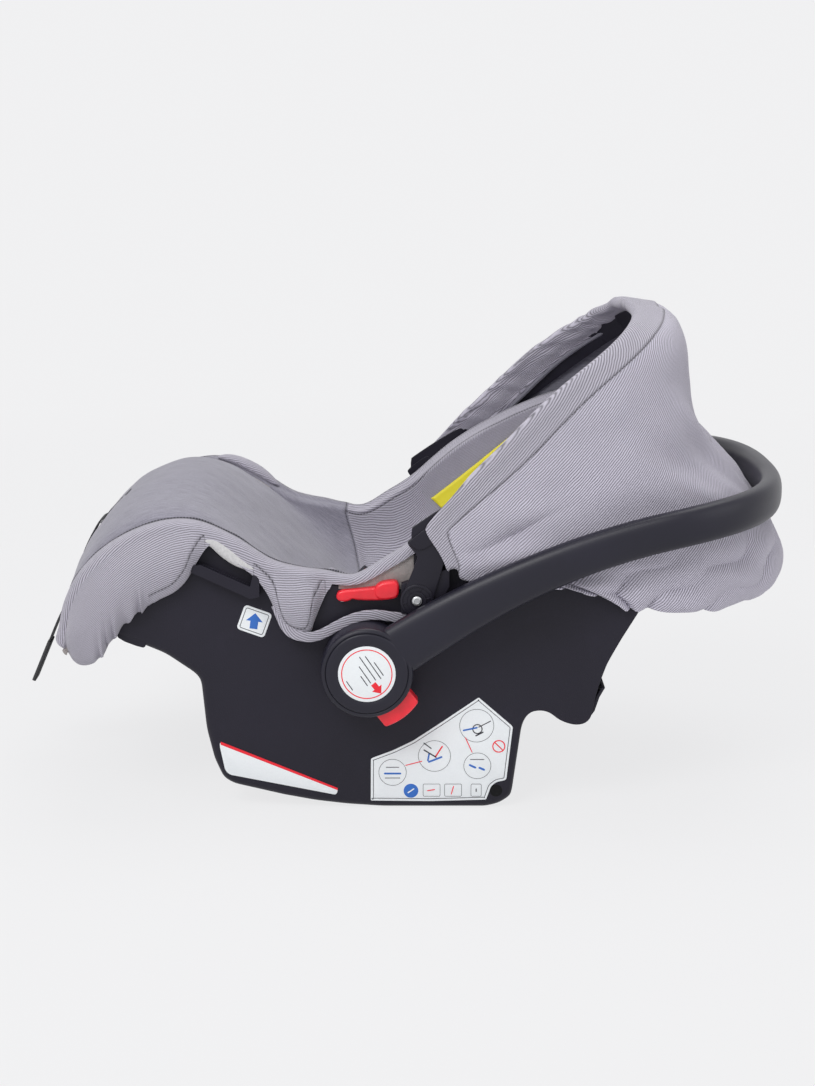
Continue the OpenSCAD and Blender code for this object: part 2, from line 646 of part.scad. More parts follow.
// The loose end of the webbing hangs forward over the foot lip.
tail_w = 25;
tail_fold = 3; // thickness factor of the folded end
tail_route = [[-327.5, 256.5], [-333.5, 251.5], [-345, 231], [-353, 212], [-359.5, 193], [-364, 180],
    [-371, 165], [-380, 147], [-390, 124], [-399, 103], [-408, 82]];
function tail_rows(side) = let (n = len(tail_route) - 1) [for (k = [0:n])
    let (d = unit2(tail_route[min(k + 1, n)] - tail_route[max(k - 1, 0)]),
        q = tail_route[k] + side * web_t / 2 * (k > n - 3 ? tail_fold : 1) * [d[1], -d[0]])
    [for (y = spread(-tail_w / 2, tail_w / 2, 2)) [q[0], y, q[1]]]];
module adjuster_strap() {
    color(web_grey) slab(tail_rows(-1), tail_rows(1));
}
// The yoke joins both shoulder straps behind the back, and one strap runs on under the seat.
module harness_yoke() {
    i = strap_to - 6;
    plate = [24, strap_gap + 44, 3];
    edge = 14; // from the plate's end to the slot
    color(steel) on_floor(i, -wall - 2 * clear - web_t - plate[2]) translate([-30, -plate[1] / 2, 0])
        difference() {
            cube(plate);
            for (y = [edge, plate[1] - edge - strap_w]) translate([8, y, -1]) cube([5, strap_w, 5]);
        }
}

seat_shell();
side_skirt_left();
side_skirt_right();
front_cross_wall();
rear_cross_wall();
front_latch_rod();
rear_latch_rod();
adapter_socket_left();
adapter_socket_right();
hub_socket_left();
hub_socket_right();
hub_axle_left();
hub_axle_right();
belt_guide_left();
belt_guide_right();
rear_belt_hook();
hood_lug_left();
hood_lug_right();
hood_screw_left();
hood_screw_right();
lever_pin_left();
lever_pin_right();
seat_cover();
shoulder_strap_left();
shoulder_strap_right();
shoulder_pad_left();
shoulder_pad_right();
crotch_strap();
crotch_pad();
buckle_body();
buckle_button();
buckle_tongue_left();
buckle_tongue_right();
adjuster_housing();
adjuster_button();
adjuster_strap();
harness_yoke();
handle_frame();
hub_cover_left();
hub_cover_right();
release_button_left();
release_button_right();
button_spring_left();
button_spring_right();
stroller_lever_left();
stroller_lever_right();
hood_bracket_left();
hood_bracket_right();
hood_hoop();
hood_fabric();
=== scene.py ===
"""Looks of an infant car seat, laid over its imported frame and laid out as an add-on.

Forms are worked out in millimetres as arrays and written to the meshes in metres.
X runs from the feet to the head, Y across the seat, Z up; the near side is the left one, -Y.
"""
import math

import bpy
import bmesh
import numpy as np
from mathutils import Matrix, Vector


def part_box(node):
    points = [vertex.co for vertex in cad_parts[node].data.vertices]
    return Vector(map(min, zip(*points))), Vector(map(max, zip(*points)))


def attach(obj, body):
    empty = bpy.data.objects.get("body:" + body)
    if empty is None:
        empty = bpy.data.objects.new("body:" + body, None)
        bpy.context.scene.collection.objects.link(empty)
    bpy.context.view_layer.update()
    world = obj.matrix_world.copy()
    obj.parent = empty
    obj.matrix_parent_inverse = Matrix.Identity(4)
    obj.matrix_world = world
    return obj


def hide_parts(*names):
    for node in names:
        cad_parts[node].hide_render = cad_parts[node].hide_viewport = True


bl_info = {
    "name": "Infant Carrier Looks",
    "version": (1, 0, 0),
    "blender": (4, 5, 0),
    "location": "View3D > Sidebar > Carrier",
    "description": "Cover, hood, shells, handle and harness of a rear facing infant carrier",
    "category": "Object",
}

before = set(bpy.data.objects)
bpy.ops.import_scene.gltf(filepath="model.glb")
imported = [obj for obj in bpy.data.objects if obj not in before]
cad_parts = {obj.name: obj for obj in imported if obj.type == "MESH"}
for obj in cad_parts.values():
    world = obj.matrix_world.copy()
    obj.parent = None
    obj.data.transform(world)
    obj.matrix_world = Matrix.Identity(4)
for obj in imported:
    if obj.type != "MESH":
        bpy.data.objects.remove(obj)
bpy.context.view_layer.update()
SIDES = ((-1, "left"), (1, "right"))


def middle(node):
    """Middle of a node's box, in millimetres."""
    low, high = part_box(node)
    return (np.array(low) + np.array(high)) * 500


HUB = middle("hub_cover_left")[[0, 2]]
HUB_FACE = abs(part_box("hub_cover_left")[0][1]) * 1000
HUB_R = (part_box("hub_cover_left")[1][0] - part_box("hub_cover_left")[0][0]) * 500
PIVOT = middle("hood_screw_left")[[0, 2]]
LEVER_PIN = middle("lever_pin_left")[[0, 2]]
ROD_FRONT = middle("front_latch_rod")[[0, 2]]
ROD_REAR = middle("rear_latch_rod")[[0, 2]]
SKIRT_FACE = abs(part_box("side_skirt_left")[0][1]) * 1000


# ---- sizes and colours ----
def length(name, text, mm):
    """A length property, given in millimetres."""
    return bpy.props.FloatProperty(name=name, description=text, default=mm / 1000, min=0, unit="LENGTH")


def tint(name, text, rgb):
    """A colour property, linear."""
    return bpy.props.FloatVectorProperty(name=name, description=text, subtype="COLOR", size=3, min=0, max=1,
                                         default=rgb)


class CarrierSizes(bpy.types.PropertyGroup):
    foot_len: length("Foot length", "Bucket's lowest point to the foot lip", 326)
    head_len: length("Head length", "Bucket's lowest point to the head lip", 290)
    bight_h: length("Seat height", "Height of the bucket's lowest point", 126)
    knee_h: length("Knee height", "Height of the crest under the knees", 288)
    head_h: length("Head height", "Height of the head lip", 346)
    bucket_w: length("Bucket width", "Inside width of the bucket at its widest", 342)
    wall: length("Wall", "Thickness of the moulded walls", 3)
    lip_w: length("Lip width", "How far the rim lip turns outwards", 13)
    pad_t: length("Cover padding", "Thickness of the cover inside the bucket", 12)
    hem_t: length("Hem thickness", "Thickness of the cover over the rim", 3)
    skirt_round: length("Skirt edge", "Rounding of the skirts' lower and front edges", 8)
    arm_t: length("Arm thickness", "Thickness of the handle's arms", 23)
    arm_root_h: length("Arm root depth", "Depth of the handle's arms at the hubs", 50)
    grip_h: length("Grip depth", "Depth of the handle's grip", 36)
    handle_reach: length("Handle reach", "Hub axis to the middle of the grip along the seat", 405)
    handle_rise: length("Handle rise", "Hub axis up to the middle of the grip", 151)
    hood_reach: length("Hood reach", "Hood pivot to the crown of the front hoop", 344)
    hood_band: length("Hood band", "Width of the band along the hood's front edge", 27)
    strap_w: length("Strap width", "Width of the shoulder straps", 38)
    strap_gap: length("Strap distance", "Distance between the middles of the shoulder straps", 92)
    web_t: length("Webbing thickness", "Thickness of the harness webbing", 1.6)
    tail_w: length("Adjuster strap width", "Width of the strap that hangs over the foot lip", 25)
    rib: length("Twill ribs", "Distance between the ribs of the twill", 2.2)


class CarrierColours(bpy.types.PropertyGroup):
    charcoal: tint("Charcoal plastic", "Skirts, bucket and brackets", (0.015, 0.0135, 0.023))
    # painted shade: a near black colour for the hollow inside the rod bores
    bore: tint("Bore", "Inside of the rod bores", (0.004, 0.004, 0.005))
    handle: tint("Handle plastic", "Handle and hubs", (0.0120, 0.0112, 0.0215))
    red: tint("Red plastic", "Levers and release buttons", (0.92, 0.014, 0.032))
    steel: tint("Steel", "Rods, screws and tongues", (0.60, 0.61, 0.63))
    twill: tint("Twill", "Outside of the cover and the hood's front band", (0.455, 0.435, 0.505))
    hood: tint("Hood twill", "Outside of the hood", (0.535, 0.510, 0.600))
    back: tint("Back twill", "Ribbed cloth of the seat's back and wings", (0.47, 0.45, 0.52))
    panel: tint("Seat panel", "Melange cloth of the seat", (0.300, 0.290, 0.345))
    lining: tint("Lining", "Inside of the hood", (0.21, 0.205, 0.245))
    backing: tint("Backing", "Fleece on the back of the cover", (0.42, 0.385, 0.375))
    padding: tint("Padding", "White wadding at the cover's edge", (0.80, 0.79, 0.80))
    webbing: tint("Webbing", "Harness straps", (0.035, 0.035, 0.042))
    paper: tint("Label", "Bare labels", (0.92, 0.955, 0.985))
    yellow: tint("Yellow strip", "Plain strip on the wing", (0.98, 0.86, 0.04))
    blue: tint("Blue mark", "Belt marks", (0.03, 0.16, 0.58))
    floor: tint("Floor", "Floor and backdrop", (0.875, 0.875, 0.885))


class Mm:
    """The sizes, read in millimetres."""

    def __getattr__(self, name):
        return getattr(bpy.context.scene.carrier_sizes, name) * 1000


size = Mm()


def colour(name):
    """One of the colours, with full cover."""
    return (*getattr(bpy.context.scene.carrier_colours, name), 1.0)


# ---- arrays ----
def smooth(rows, n):
    """A curve through the rows, n steps to each span: the cubic whose slope at a row is half the chord of its
    two neighbours."""
    p = np.asarray(rows, float)
    i = np.arange(len(p) - 1)
    t = (np.arange(n) / n)[None, :, None]
    a, b, c, d = (p[np.clip(i + k, 0, len(p) - 1)][:, None] for k in (-1, 0, 1, 2))
    q = 0.5 * (2 * b + (c - a) * t + (2 * a - 5 * b + 4 * c - d) * t ** 2 + (3 * b - a - 3 * c + d) * t ** 3)
    return np.vstack([q.reshape(-1, p.shape[1]), p[-1:]])


def bell(x, at, width):
    """Bell curve of height 1."""
    return np.exp(-((x - at) / width) ** 2)


def ease(t):
    """0 before 0, 1 after 1, smooth between."""
    c = np.clip(t, 0, 1)
    return c * c * (3 - 2 * c)


def table(x, rows):
    """Straight lines between the rows (place, value)."""
    r = np.asarray(rows, float)
    return np.interp(x, r[:, 0], r[:, 1])


def at_y(flat, y):
    """Flat points, given as places along the seat and heights, set in space at the distance y across."""
    flat = np.asarray(flat, float)
    return np.stack([flat[..., 0], np.broadcast_to(y, flat.shape[:-1]), flat[..., 1]], -1)


def both_halves(half):
    """A grid from one edge to the middle, carried on to the other edge."""
    return np.concatenate([half, (half * (1, -1, 1))[:, -2::-1]], 1)


def closed_rows(grid):
    """A grid whose rows end where they start."""
    return np.concatenate([grid, grid[:, :1]], 1)


def capped(grid):
    """A swept grid with both ends drawn to a point."""
    first, last = (np.broadcast_to(grid[k].mean(0), grid[:1].shape) for k in (0, -1))
    return np.concatenate([first, grid, last])


def power(v, p):
    """v to the power p, with its sign kept."""
    return np.sign(v) * np.abs(v) ** p


def unit(v):
    """Vectors of length 1."""
    return v / np.maximum(np.linalg.norm(v, axis=-1, keepdims=True), 1e-9)


def slopes(p):
    """Directions along the rows of a curve."""
    return unit(np.gradient(p, axis=0))


def run_length(p, axis=0):
    """Distance walked along an axis of an array of points."""
    step = np.linalg.norm(np.diff(p, axis=axis), axis=-1)
    pad = [(0, 0)] * step.ndim
    pad[axis] = (1, 0)
    return np.cumsum(np.pad(step, pad), axis=axis)


def soften(points, times, closed=True):
    """Corner cutting: each side of the polygon is replaced by its middle half, so corners turn round."""
    p = np.asarray(points, float)
    for _ in range(times):
        q = np.roll(p, -1, axis=0) if closed else p[1:]
        a = p if closed else p[:-1]
        cut = np.stack([0.75 * a + 0.25 * q, 0.25 * a + 0.75 * q], 1).reshape(-1, p.shape[1])
        p = cut if closed else np.vstack([p[:1], cut, p[-1:]])
    return p


def evenly(points, step, closed=True):
    """The same line with points about step apart."""
    p = np.asarray(points, float)
    if closed:
        p = np.vstack([p, p[:1]])
    d = run_length(p)
    n = max(int(d[-1] / step), 3)
    s = np.linspace(0, d[-1], n + 1)
    q = np.stack([np.interp(s, d, p[:, k]) for k in range(p.shape[1])], 1)
    return q[:-1] if closed else q


def ripple(x, y, seed):
    """Sum of five plane waves with settled directions and lengths, about -1 to 1."""
    waves = 5
    rng = np.random.default_rng(seed)
    out = np.zeros(np.broadcast(x, y).shape)
    for _ in range(waves):
        f = 1 + 2.2 * rng.random()
        a = 2 * math.pi * rng.random()
        out += np.sin(f * (x * math.cos(a) + y * math.sin(a)) + 6.3 * rng.random())
    return out / math.sqrt(waves * 2)


def rect(w, h, r, n=5):
    """Rounded rectangle about the origin."""
    a = np.radians(np.linspace(0, 90, n))
    q = np.stack([np.cos(a), np.sin(a)], 1) * r
    out = [q + (w / 2 - r, h / 2 - r), (q[:, ::-1] * (-1, 1)) + (r - w / 2, h / 2 - r),
           (-q) + (r - w / 2, r - h / 2), (q[:, ::-1] * (1, -1)) + (w / 2 - r, r - h / 2)]
    return np.vstack(out)


def turned(points, degrees, at=(0, 0)):
    """Flat points turned about the origin and moved."""
    c, s = math.cos(math.radians(degrees)), math.sin(math.radians(degrees))
    p = np.asarray(points, float)
    return np.stack([p[:, 0] * c - p[:, 1] * s, p[:, 0] * s + p[:, 1] * c], 1) + np.asarray(at)


NO_SEAM = 999.0  # distance to a seam, where there is none


def at_walked(values, walked, wanted):
    """Values of each column at a distance walked along it, in straight lines between the rows."""
    above = np.clip((walked < wanted).sum(0), 1, len(walked) - 1)
    k = np.arange(len(above))
    low, high = walked[above - 1, k], walked[above, k]
    share = np.clip((wanted - low) / (high - low), 0, 1)[:, None]
    return values[above - 1, k] + (values[above, k] - values[above - 1, k]) * share


class Shape:
    """One piece's mesh, gathered from grids and flat rings, in millimetres."""

    def __init__(self):
        self.points, self.faces, self.uv, self.marks, self.zones, self.count = [], [], [], [], [], 0

    def grid(self, p, flip=False, uv=None, mark=None, zone=0):
        """A grid of points becomes quads. Its uv is the distance walked along both ways unless it is given,
        and mark holds (distance from the nearest seam, distance along it)."""
        rows, cols = p.shape[:2]
        i, j = np.meshgrid(np.arange(rows - 1), np.arange(cols - 1), indexing="ij")
        a = i * cols + j
        f = np.stack([a, a + 1, a + cols + 1, a + cols], -1).reshape(-1, 4)
        if uv is None:
            uv = np.stack([run_length(p, 0), run_length(p, 1)], -1)
        if mark is None:
            mark = np.full((rows, cols, 2), NO_SEAM)
        self.faces += ((f[:, ::-1] if flip else f) + self.count).tolist()
        self.zones += np.broadcast_to(zone, (rows, cols))[:-1, :-1].reshape(-1).tolist()
        self.points.append(p.reshape(-1, 3))
        self.uv.append(np.broadcast_to(uv, (rows, cols, 2)).reshape(-1, 2))
        self.marks.append(mark.reshape(-1, 2))
        self.count += rows * cols
        return self

    def lid(self, ring, flip=False, zone=0):
        """A flat ring of points becomes one face."""
        n = len(ring)
        f = list(range(self.count, self.count + n))
        self.faces.append(f[::-1] if flip else f)
        self.zones.append(zone)
        self.points.append(ring)
        self.uv.append(ring[:, [0, 2]])
        self.marks.append(np.full((n, 2), NO_SEAM))
        self.count += n
        return self

    def build(self, name, finishes, body="carrier", stands_for=(), slot=None, sharp=40, thick=0, lining=None):
        """Writes the mesh, closes its seams and poles, gives it its finishes and hangs it on its body."""
        me = bpy.data.meshes.new(name)
        p = np.vstack(self.points) / 1000
        me.from_pydata(p.tolist(), [], self.faces)
        corner = np.empty(len(me.loops), np.int32)
        me.loops.foreach_get("vertex_index", corner)
        for layer, values in (("cloth", self.uv), ("seam", self.marks)):
            flat = (np.vstack(values) / 1000)[corner].astype(np.float32)
            me.uv_layers.new(name=layer).data.foreach_set("uv", flat.ravel())
        me.polygons.foreach_set("material_index", np.array(self.zones, np.int32))
        bm = bmesh.new()
        bm.from_mesh(me)
        bmesh.ops.remove_doubles(bm, verts=bm.verts, dist=2e-5)
        bm.to_mesh(me)
        bm.free()
        me.polygons.foreach_set("use_smooth", np.ones(len(me.polygons), bool))
        me.set_sharp_from_angle(angle=math.radians(sharp))
        me.update()
        obj = bpy.data.objects.new(name, me)
        bpy.context.scene.collection.objects.link(obj)
        for finish_name in [finishes] if isinstance(finishes, str) else finishes:
            me.materials.append(finish(finish_name))
        if thick:
            mod = obj.modifiers.new("thickness", "SOLIDIFY")
            mod.thickness, mod.offset = thick / 1000, -1
            mod.use_even_offset = False
            if lining is not None:
                mod.material_offset, mod.material_offset_rim = lining, 0
        if body:
            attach(obj, body)
        if stands_for:
            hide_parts(*stands_for)
        return obj


def swept(path, profile, up=(0, 0, 1), scale=None):
    """Grid of a flat profile carried along a path: its first axis lies across the path and level with up, its
    second stands on both. scale holds two factors for each place."""
    t = slopes(path)
    side = unit(np.cross(t, np.broadcast_to(np.asarray(up, float), t.shape)))
    top = np.cross(side, t)
    prof = np.asarray(profile, float)[None]
    if scale is not None:
        prof = prof * np.asarray(scale, float)[:, None, :]
    return path[:, None] + side[:, None] * prof[..., :1] + top[:, None] * prof[..., 1:]


def circle(r, n=24):
    """Closed ring of n steps."""
    a = np.linspace(0, 2 * math.pi, n + 1)
    return np.stack([np.cos(a), np.sin(a)], 1) * r


def tube(path, r, n, up):
    """A round cord along a path with both ends closed."""
    ring = circle(r, n)
    first, last = (np.broadcast_to(path[k], (1, len(ring), 3)) for k in (0, -1))
    return Shape().grid(np.concatenate([first, swept(path, ring, up), last]), flip=True)


def below(face, rows):
    """Rows of (radius, depth below a face) as radius and distance from the middle plane."""
    return [(r, face - depth) for r, depth in rows]


def lathe(shape, profile, at, side, n=64):
    """A profile of (radius, distance from the middle plane) turned about the cross axis through at."""
    pr = np.asarray(profile, float)
    return shape.grid(at_y(pr[:, None, :1] * circle(1, n) + at, side * pr[:, 1:]), flip=side > 0)


def inset(outline, d):
    """A closed outline moved inwards by d at each point, square to itself. It runs against the clock."""
    t = unit(np.roll(outline, -1, 0) - np.roll(outline, 1, 0))
    return outline + np.stack([-t[:, 1], t[:, 0]], 1) * np.reshape(d, (-1, 1))


def against_clock(outline):
    """The outline in the order that keeps its inside on the left."""
    x, y = outline.T
    area = np.sum(x * np.roll(y, -1) - np.roll(x, -1) * y)
    return outline if area > 0 else outline[::-1]


def plate(shape, outline, y0, y1, r=1.0, side=-1, zone=0, back=0.4, steps=4):
    """A flat plate between two distances from the middle plane. Its outer edge is a quarter round of radius
    r: with the angle k, a ring lies r(1-cos k) inside the outline and r(1-sin k) below the face."""
    o = against_clock(np.asarray(outline, float))
    rings = [(back, y0), (0, y0 + back)]
    a = np.linspace(0, math.pi / 2, steps + 1)
    rings += [(r * (1 - math.cos(k)), y1 - r + r * math.sin(k)) for k in a]
    g = np.stack([at_y(inset(o, d), side * y) for d, y in rings])
    shape.grid(closed_rows(g), flip=side > 0, zone=zone)
    shape.lid(g[-1], flip=side > 0, zone=zone)
    return shape.lid(g[0], flip=side < 0, zone=zone)


# An arrow's outline, pointing down.
ARROW = np.array([[0, -9.5], [8, 0], [3.8, 0], [3.8, 7.5], [-3.8, 7.5], [-3.8, 0], [-8, 0]])


class Label(Shape):
    """A bare label on one side's face and the plain marks on it. A zone is the place of the mark's finish among
    the label's finishes, and 0 is the paper."""

    def __init__(self, side, face):
        super().__init__()
        self.side, self.face = side, face

    def paper(self, outline):
        """The label's film."""
        plate(self, outline, self.face, self.face + 0.25, 0.1, self.side, 0, 0.02, 2)

    def ink(self, outline, zone, high=0.34, low=0.2):
        """A filled mark between two heights over the face."""
        plate(self, outline, self.face + low, self.face + high, 0.05, self.side, zone, 0.02, 2)

    def line(self, outline, wide, zone):
        """A thin line along the inside of a closed outline."""
        o, y = against_clock(np.asarray(outline, float)), self.face + 0.26
        rows = ((o, y - 0.1), (o, y + 0.1), (inset(o, wide), y + 0.1), (inset(o, wide), y - 0.1))
        g = np.stack([at_y(q, self.side * h) for q, h in rows])
        self.grid(closed_rows(g), flip=self.side > 0, zone=zone)


# ---- finishes ----
class Nodes:
    """A node tree whose nodes are added one by one."""

    def __init__(self, tree):
        self.tree = tree

    def join(self, inputs, **sockets):
        """Fills a node's inputs by name: a socket is linked, anything else is set."""
        for key, value in sockets.items():
            self.fill(inputs[key.replace("_", " ")], value)

    def fill(self, socket, value):
        """Links a socket to the value, or sets it."""
        if isinstance(value, bpy.types.NodeSocket):
            self.tree.links.new(value, socket)
        else:
            socket.default_value = value

    def add(self, kind, inputs=(), out=0, **settings):
        """A node with its settings and inputs. Returns an output, or all of them where out is None."""
        node = self.tree.nodes.new(kind)
        for key, value in settings.items():
            setattr(node, key, value)
        for key, value in dict(inputs).items():
            self.fill(node.inputs[key], value)
        return node.outputs if out is None else node.outputs[out]

    def do(self, operation, a, b=0.0, c=0.0):
        """Arithmetic on numbers."""
        return self.add("ShaderNodeMath", {0: a, 1: b, 2: c}, operation=operation)

    def blend(self, a, share_a, b, share_b):
        """Sum of two numbers, each by its share."""
        return self.do("ADD", self.do("MULTIPLY", a, share_a), self.do("MULTIPLY", b, share_b))

    def hump(self, value, width):
        """Bell curve of height 1 and the given width about 0."""
        square = self.do("POWER", self.do("DIVIDE", value, width), 2.0)
        return self.do("EXPONENT", self.do("MULTIPLY", square, -1.0))

    def wave(self, value, length, shift=0.0):
        """Sine of a value, one turn to each length."""
        turn = self.do("MULTIPLY", value, 2 * math.pi / length)
        return self.do("SINE", self.do("ADD", turn, shift) if shift else turn)

    def across(self, layer, angle=0.0):
        """The two places on a map of the piece, turned by an angle."""
        return self.add("ShaderNodeSeparateXYZ", {0: self.place(layer=layer, angle=angle)}, out=None)

    def place(self, scale=(1, 1, 1), layer=None, angle=0.0):
        """Object coordinates, or the piece's own cloth map, turned and scaled."""
        if layer:
            v = self.add("ShaderNodeUVMap", uv_map=layer)
        else:
            v = self.add("ShaderNodeTexCoord", out=3)
        return self.add("ShaderNodeMapping", {0: v, 2: (0, 0, math.radians(angle)), 3: scale})

    def noise(self, vector, scale, detail=2.0, rough=0.5):
        """Noise from 0 to 1."""
        return self.add("ShaderNodeTexNoise", {"Vector": vector, "Scale": scale, "Detail": detail,
                                               "Roughness": rough})

    def span(self, value, low, high, to_low=0.0, to_high=1.0):
        """Value moved from one range to another and kept inside it."""
        return self.add("ShaderNodeMapRange", {0: value, 1: low, 2: high, 3: to_low, 4: to_high})

    def mix(self, share, a, b):
        """Colour between a and b."""
        return self.add("ShaderNodeMix", {0: share, 6: a, 7: b}, out=2, data_type="RGBA")

    def pale_rays(self):
        """1 for camera, glossy and transmission rays, else 0."""
        ray = self.add("ShaderNodeLightPath", out=None)
        shiny = self.do("MAXIMUM", ray["Is Camera Ray"], ray["Is Glossy Ray"])
        return self.do("MAXIMUM", shiny, ray["Is Transmission Ray"])


class Finish(Nodes):
    """A material of a principled shader. Numbers that hold all over stay on the shader."""

    def __init__(self, name, **constants):
        self.material = bpy.data.materials.new(name)
        self.material.use_nodes = True
        super().__init__(self.material.node_tree)
        self.shader = self.tree.nodes["Principled BSDF"]
        self.join(self.shader.inputs, **constants)

    def wire(self, base, rough, height, deep):
        """Links colour, roughness and a bump of the given depth in metres."""
        bump = self.add("ShaderNodeBump", {"Height": height, "Distance": deep, "Strength": 1.0})
        self.join(self.shader.inputs, Base_Color=base, Roughness=rough, Normal=bump)
        return self.material


def dim(rgba, k):
    """A colour made darker or lighter."""
    return (*(min(c * k, 1.0) for c in rgba[:3]), 1.0)


def moulded(name, tone, rough, grain=900.0, deep=0.00012, gloss=0.27):
    """Moulded plastic: leathery grain, soft clouding and faint rubbed patches."""
    f = Finish(name, Specular_IOR_Level=gloss)
    c = colour(tone)
    at = f.place()
    cloud = f.noise(at, 9.0, 3.0)
    fine = f.noise(at, grain, 2.0, 0.6)
    rub = f.span(f.noise(at, 38.0, 5.0, 0.62), 0.60, 0.74)
    base = f.mix(f.span(cloud, 0.3, 0.7), dim(c, 0.88), dim(c, 1.14))
    base = f.mix(f.do("MULTIPLY", rub, 0.12), base, dim(c, 2.0))
    both = f.blend(fine, 0.4, cloud, 0.6)
    return f.wire(base, f.span(both, 0.3, 0.7, rough - 0.06, rough + 0.08), fine, deep)


def shiny(name, tone):
    """Glossy coloured plastic with fine moulding haze and dust in the roughness."""
    f = Finish(name, Specular_IOR_Level=0.5, Coat_Weight=0.25, Coat_Roughness=0.18)
    c = colour(tone)
    at = f.place()
    haze = f.noise(at, 60.0, 4.0)
    base = f.mix(f.span(haze, 0.35, 0.7), dim(c, 0.9), dim(c, 1.08))
    return f.wire(base, f.span(haze, 0.3, 0.7, 0.27, 0.40), f.noise(at, 500.0), 0.00004)


def brushed(name):
    """Zinc plated steel with fine lines along Y and clouding."""
    f = Finish(name, Metallic=1.0)
    c = colour("steel")
    lines = f.noise(f.place((900, 30, 900)), 1.0, 2.0)
    cloud = f.noise(f.place(), 55.0, 4.0)
    base = f.mix(f.span(cloud, 0.3, 0.7), dim(c, 0.82), dim(c, 1.06))
    return f.wire(base, f.span(f.do("ADD", lines, cloud), 0.7, 1.3, 0.24, 0.42), lines, 0.00003)


# A seam's groove and thread widths and the length of its stitch, in metres.
GROOVE, THREAD, STITCH = 0.0016, 0.0006, 0.0034


def stitched(f, height):
    """Grooves and sewing where the seam map is near zero: returns (darkness 0 to 1, height). The darkness is
    painted shade in the groove plus the dark thread of the stitches.
    """
    seam = f.add("ShaderNodeSeparateXYZ", {0: f.add("ShaderNodeUVMap", uv_map="seam")}, out=None)
    near = f.hump(seam[0], GROOVE)
    dash = f.span(f.wave(seam[1], STITCH), -0.5, 0.2, 0.35, 1.0)
    thread = f.do("MULTIPLY", f.hump(seam[0], THREAD), dash)
    # painted shade: the groove is painted darker where it dips, and the stitches get their dark thread
    dark = f.do("MINIMUM", f.blend(near, 0.22, thread, 0.75), 1.0)
    return dark, f.do("SUBTRACT", height, f.do("MULTIPLY", near, 2.2))


def twill(name, tone, angle, contrast=0.66):
    """Ribbed twill: round ridges and narrow valleys across the cloth map, broken into threads, with fluff,
    slow changes of tone and seams. The ridges are painted lighter and the valleys darker, as painted light and
    shade."""
    f = Finish(name, Sheen_Weight=0.25, Sheen_Roughness=0.5, Specular_IOR_Level=0.25)
    c = colour(tone)
    fuzz = f.noise(f.place(), 1100.0, 2.0, 0.6)
    cloud = f.noise(f.place(), 22.0, 3.0)
    at = f.across("cloth", angle)
    rib = bpy.context.scene.carrier_sizes.rib
    waver = f.do("MULTIPLY", f.noise(f.place(), 90.0), 0.9)
    r = f.do("ADD", f.do("DIVIDE", at[1], rib), waver)
    ridge = f.do("POWER", f.do("ABSOLUTE", f.do("SINE", f.do("MULTIPLY", r, math.pi))), 1.3)
    thread = f.wave(at[0], 0.0016, f.do("MULTIPLY", f.do("FLOOR", r), 2.1))
    height = f.do("ADD", ridge, f.blend(thread, 0.10, fuzz, 0.35))
    # painted light and shade on the ribs: lighter ridges and darker valleys, with the fluff's own tone mixed in
    shade = f.blend(ridge, 0.75, fuzz, 0.25)
    base = f.mix(f.span(shade, 0.1, 0.9), dim(c, 1 - contrast), dim(c, 1 + 0.62 * contrast))
    base = f.mix(f.span(cloud, 0.3, 0.72, 0.0, 0.35), base, dim(c, 0.84))
    dark, height = stitched(f, height)
    # the seam's painted groove shade and its dark stitches
    base = f.mix(dark, base, dim(c, 0.12))
    return f.wire(base, f.span(fuzz, 0.2, 0.8, 0.80, 0.94), height, 0.00035)


def melange(name, tone, rough=0.88):
    """Smooth melange cloth: short fine streaks of light and dark thread across the seat."""
    f = Finish(name, Sheen_Weight=0.3, Sheen_Roughness=0.45, Specular_IOR_Level=0.25)
    c = colour(tone)
    streak = f.noise(f.place((55, 680, 1), layer="cloth"), 1.0, 3.0, 0.65)
    speck = f.noise(f.place((500, 1500, 1), layer="cloth"), 1.0, 1.0)
    cloud = f.noise(f.place(), 16.0, 3.0)
    both = f.blend(streak, 0.65, speck, 0.35)
    base = f.mix(f.span(both, 0.34, 0.66), dim(c, 0.66), dim(c, 1.34))
    base = f.mix(f.span(cloud, 0.3, 0.72, 0.0, 0.3), base, dim(c, 0.86))
    dark, height = stitched(f, both)
    # the seam's painted groove shade and its dark stitches
    base = f.mix(dark, base, dim(c, 0.15))
    return f.wire(base, f.span(both, 0.3, 0.7, rough - 0.05, rough + 0.06), height, 0.0003)


def woven_strap(name, tone):
    """Harness webbing: warp cords along the strap crossed by a fine weft, smooth selvedges. The raised cords
    are painted lighter and the hollows darker, as painted highlight and shade.
    """
    f = Finish(name, Sheen_Weight=0.15, Sheen_Roughness=0.4, Specular_IOR_Level=0.35)
    c = colour(tone)
    at = f.across("cloth")
    warp = f.wave(at[1], 0.0021)
    weft = f.wave(at[0], 0.0013, f.do("MULTIPLY", f.do("SIGN", warp), 1.57))
    h = f.do("ADD", f.do("ABSOLUTE", warp), f.do("MULTIPLY", weft, 0.45))
    # painted highlight on the raised cords and painted shade in the hollows between them
    base = f.mix(f.span(h, -0.2, 1.3), dim(c, 0.55), dim(c, 1.7))
    base = f.mix(f.span(f.noise(f.place(), 30.0), 0.35, 0.7, 0.0, 0.3), base, dim(c, 1.5))
    return f.wire(base, f.span(h, 0.0, 1.2, 0.75, 0.62), h, 0.00025)


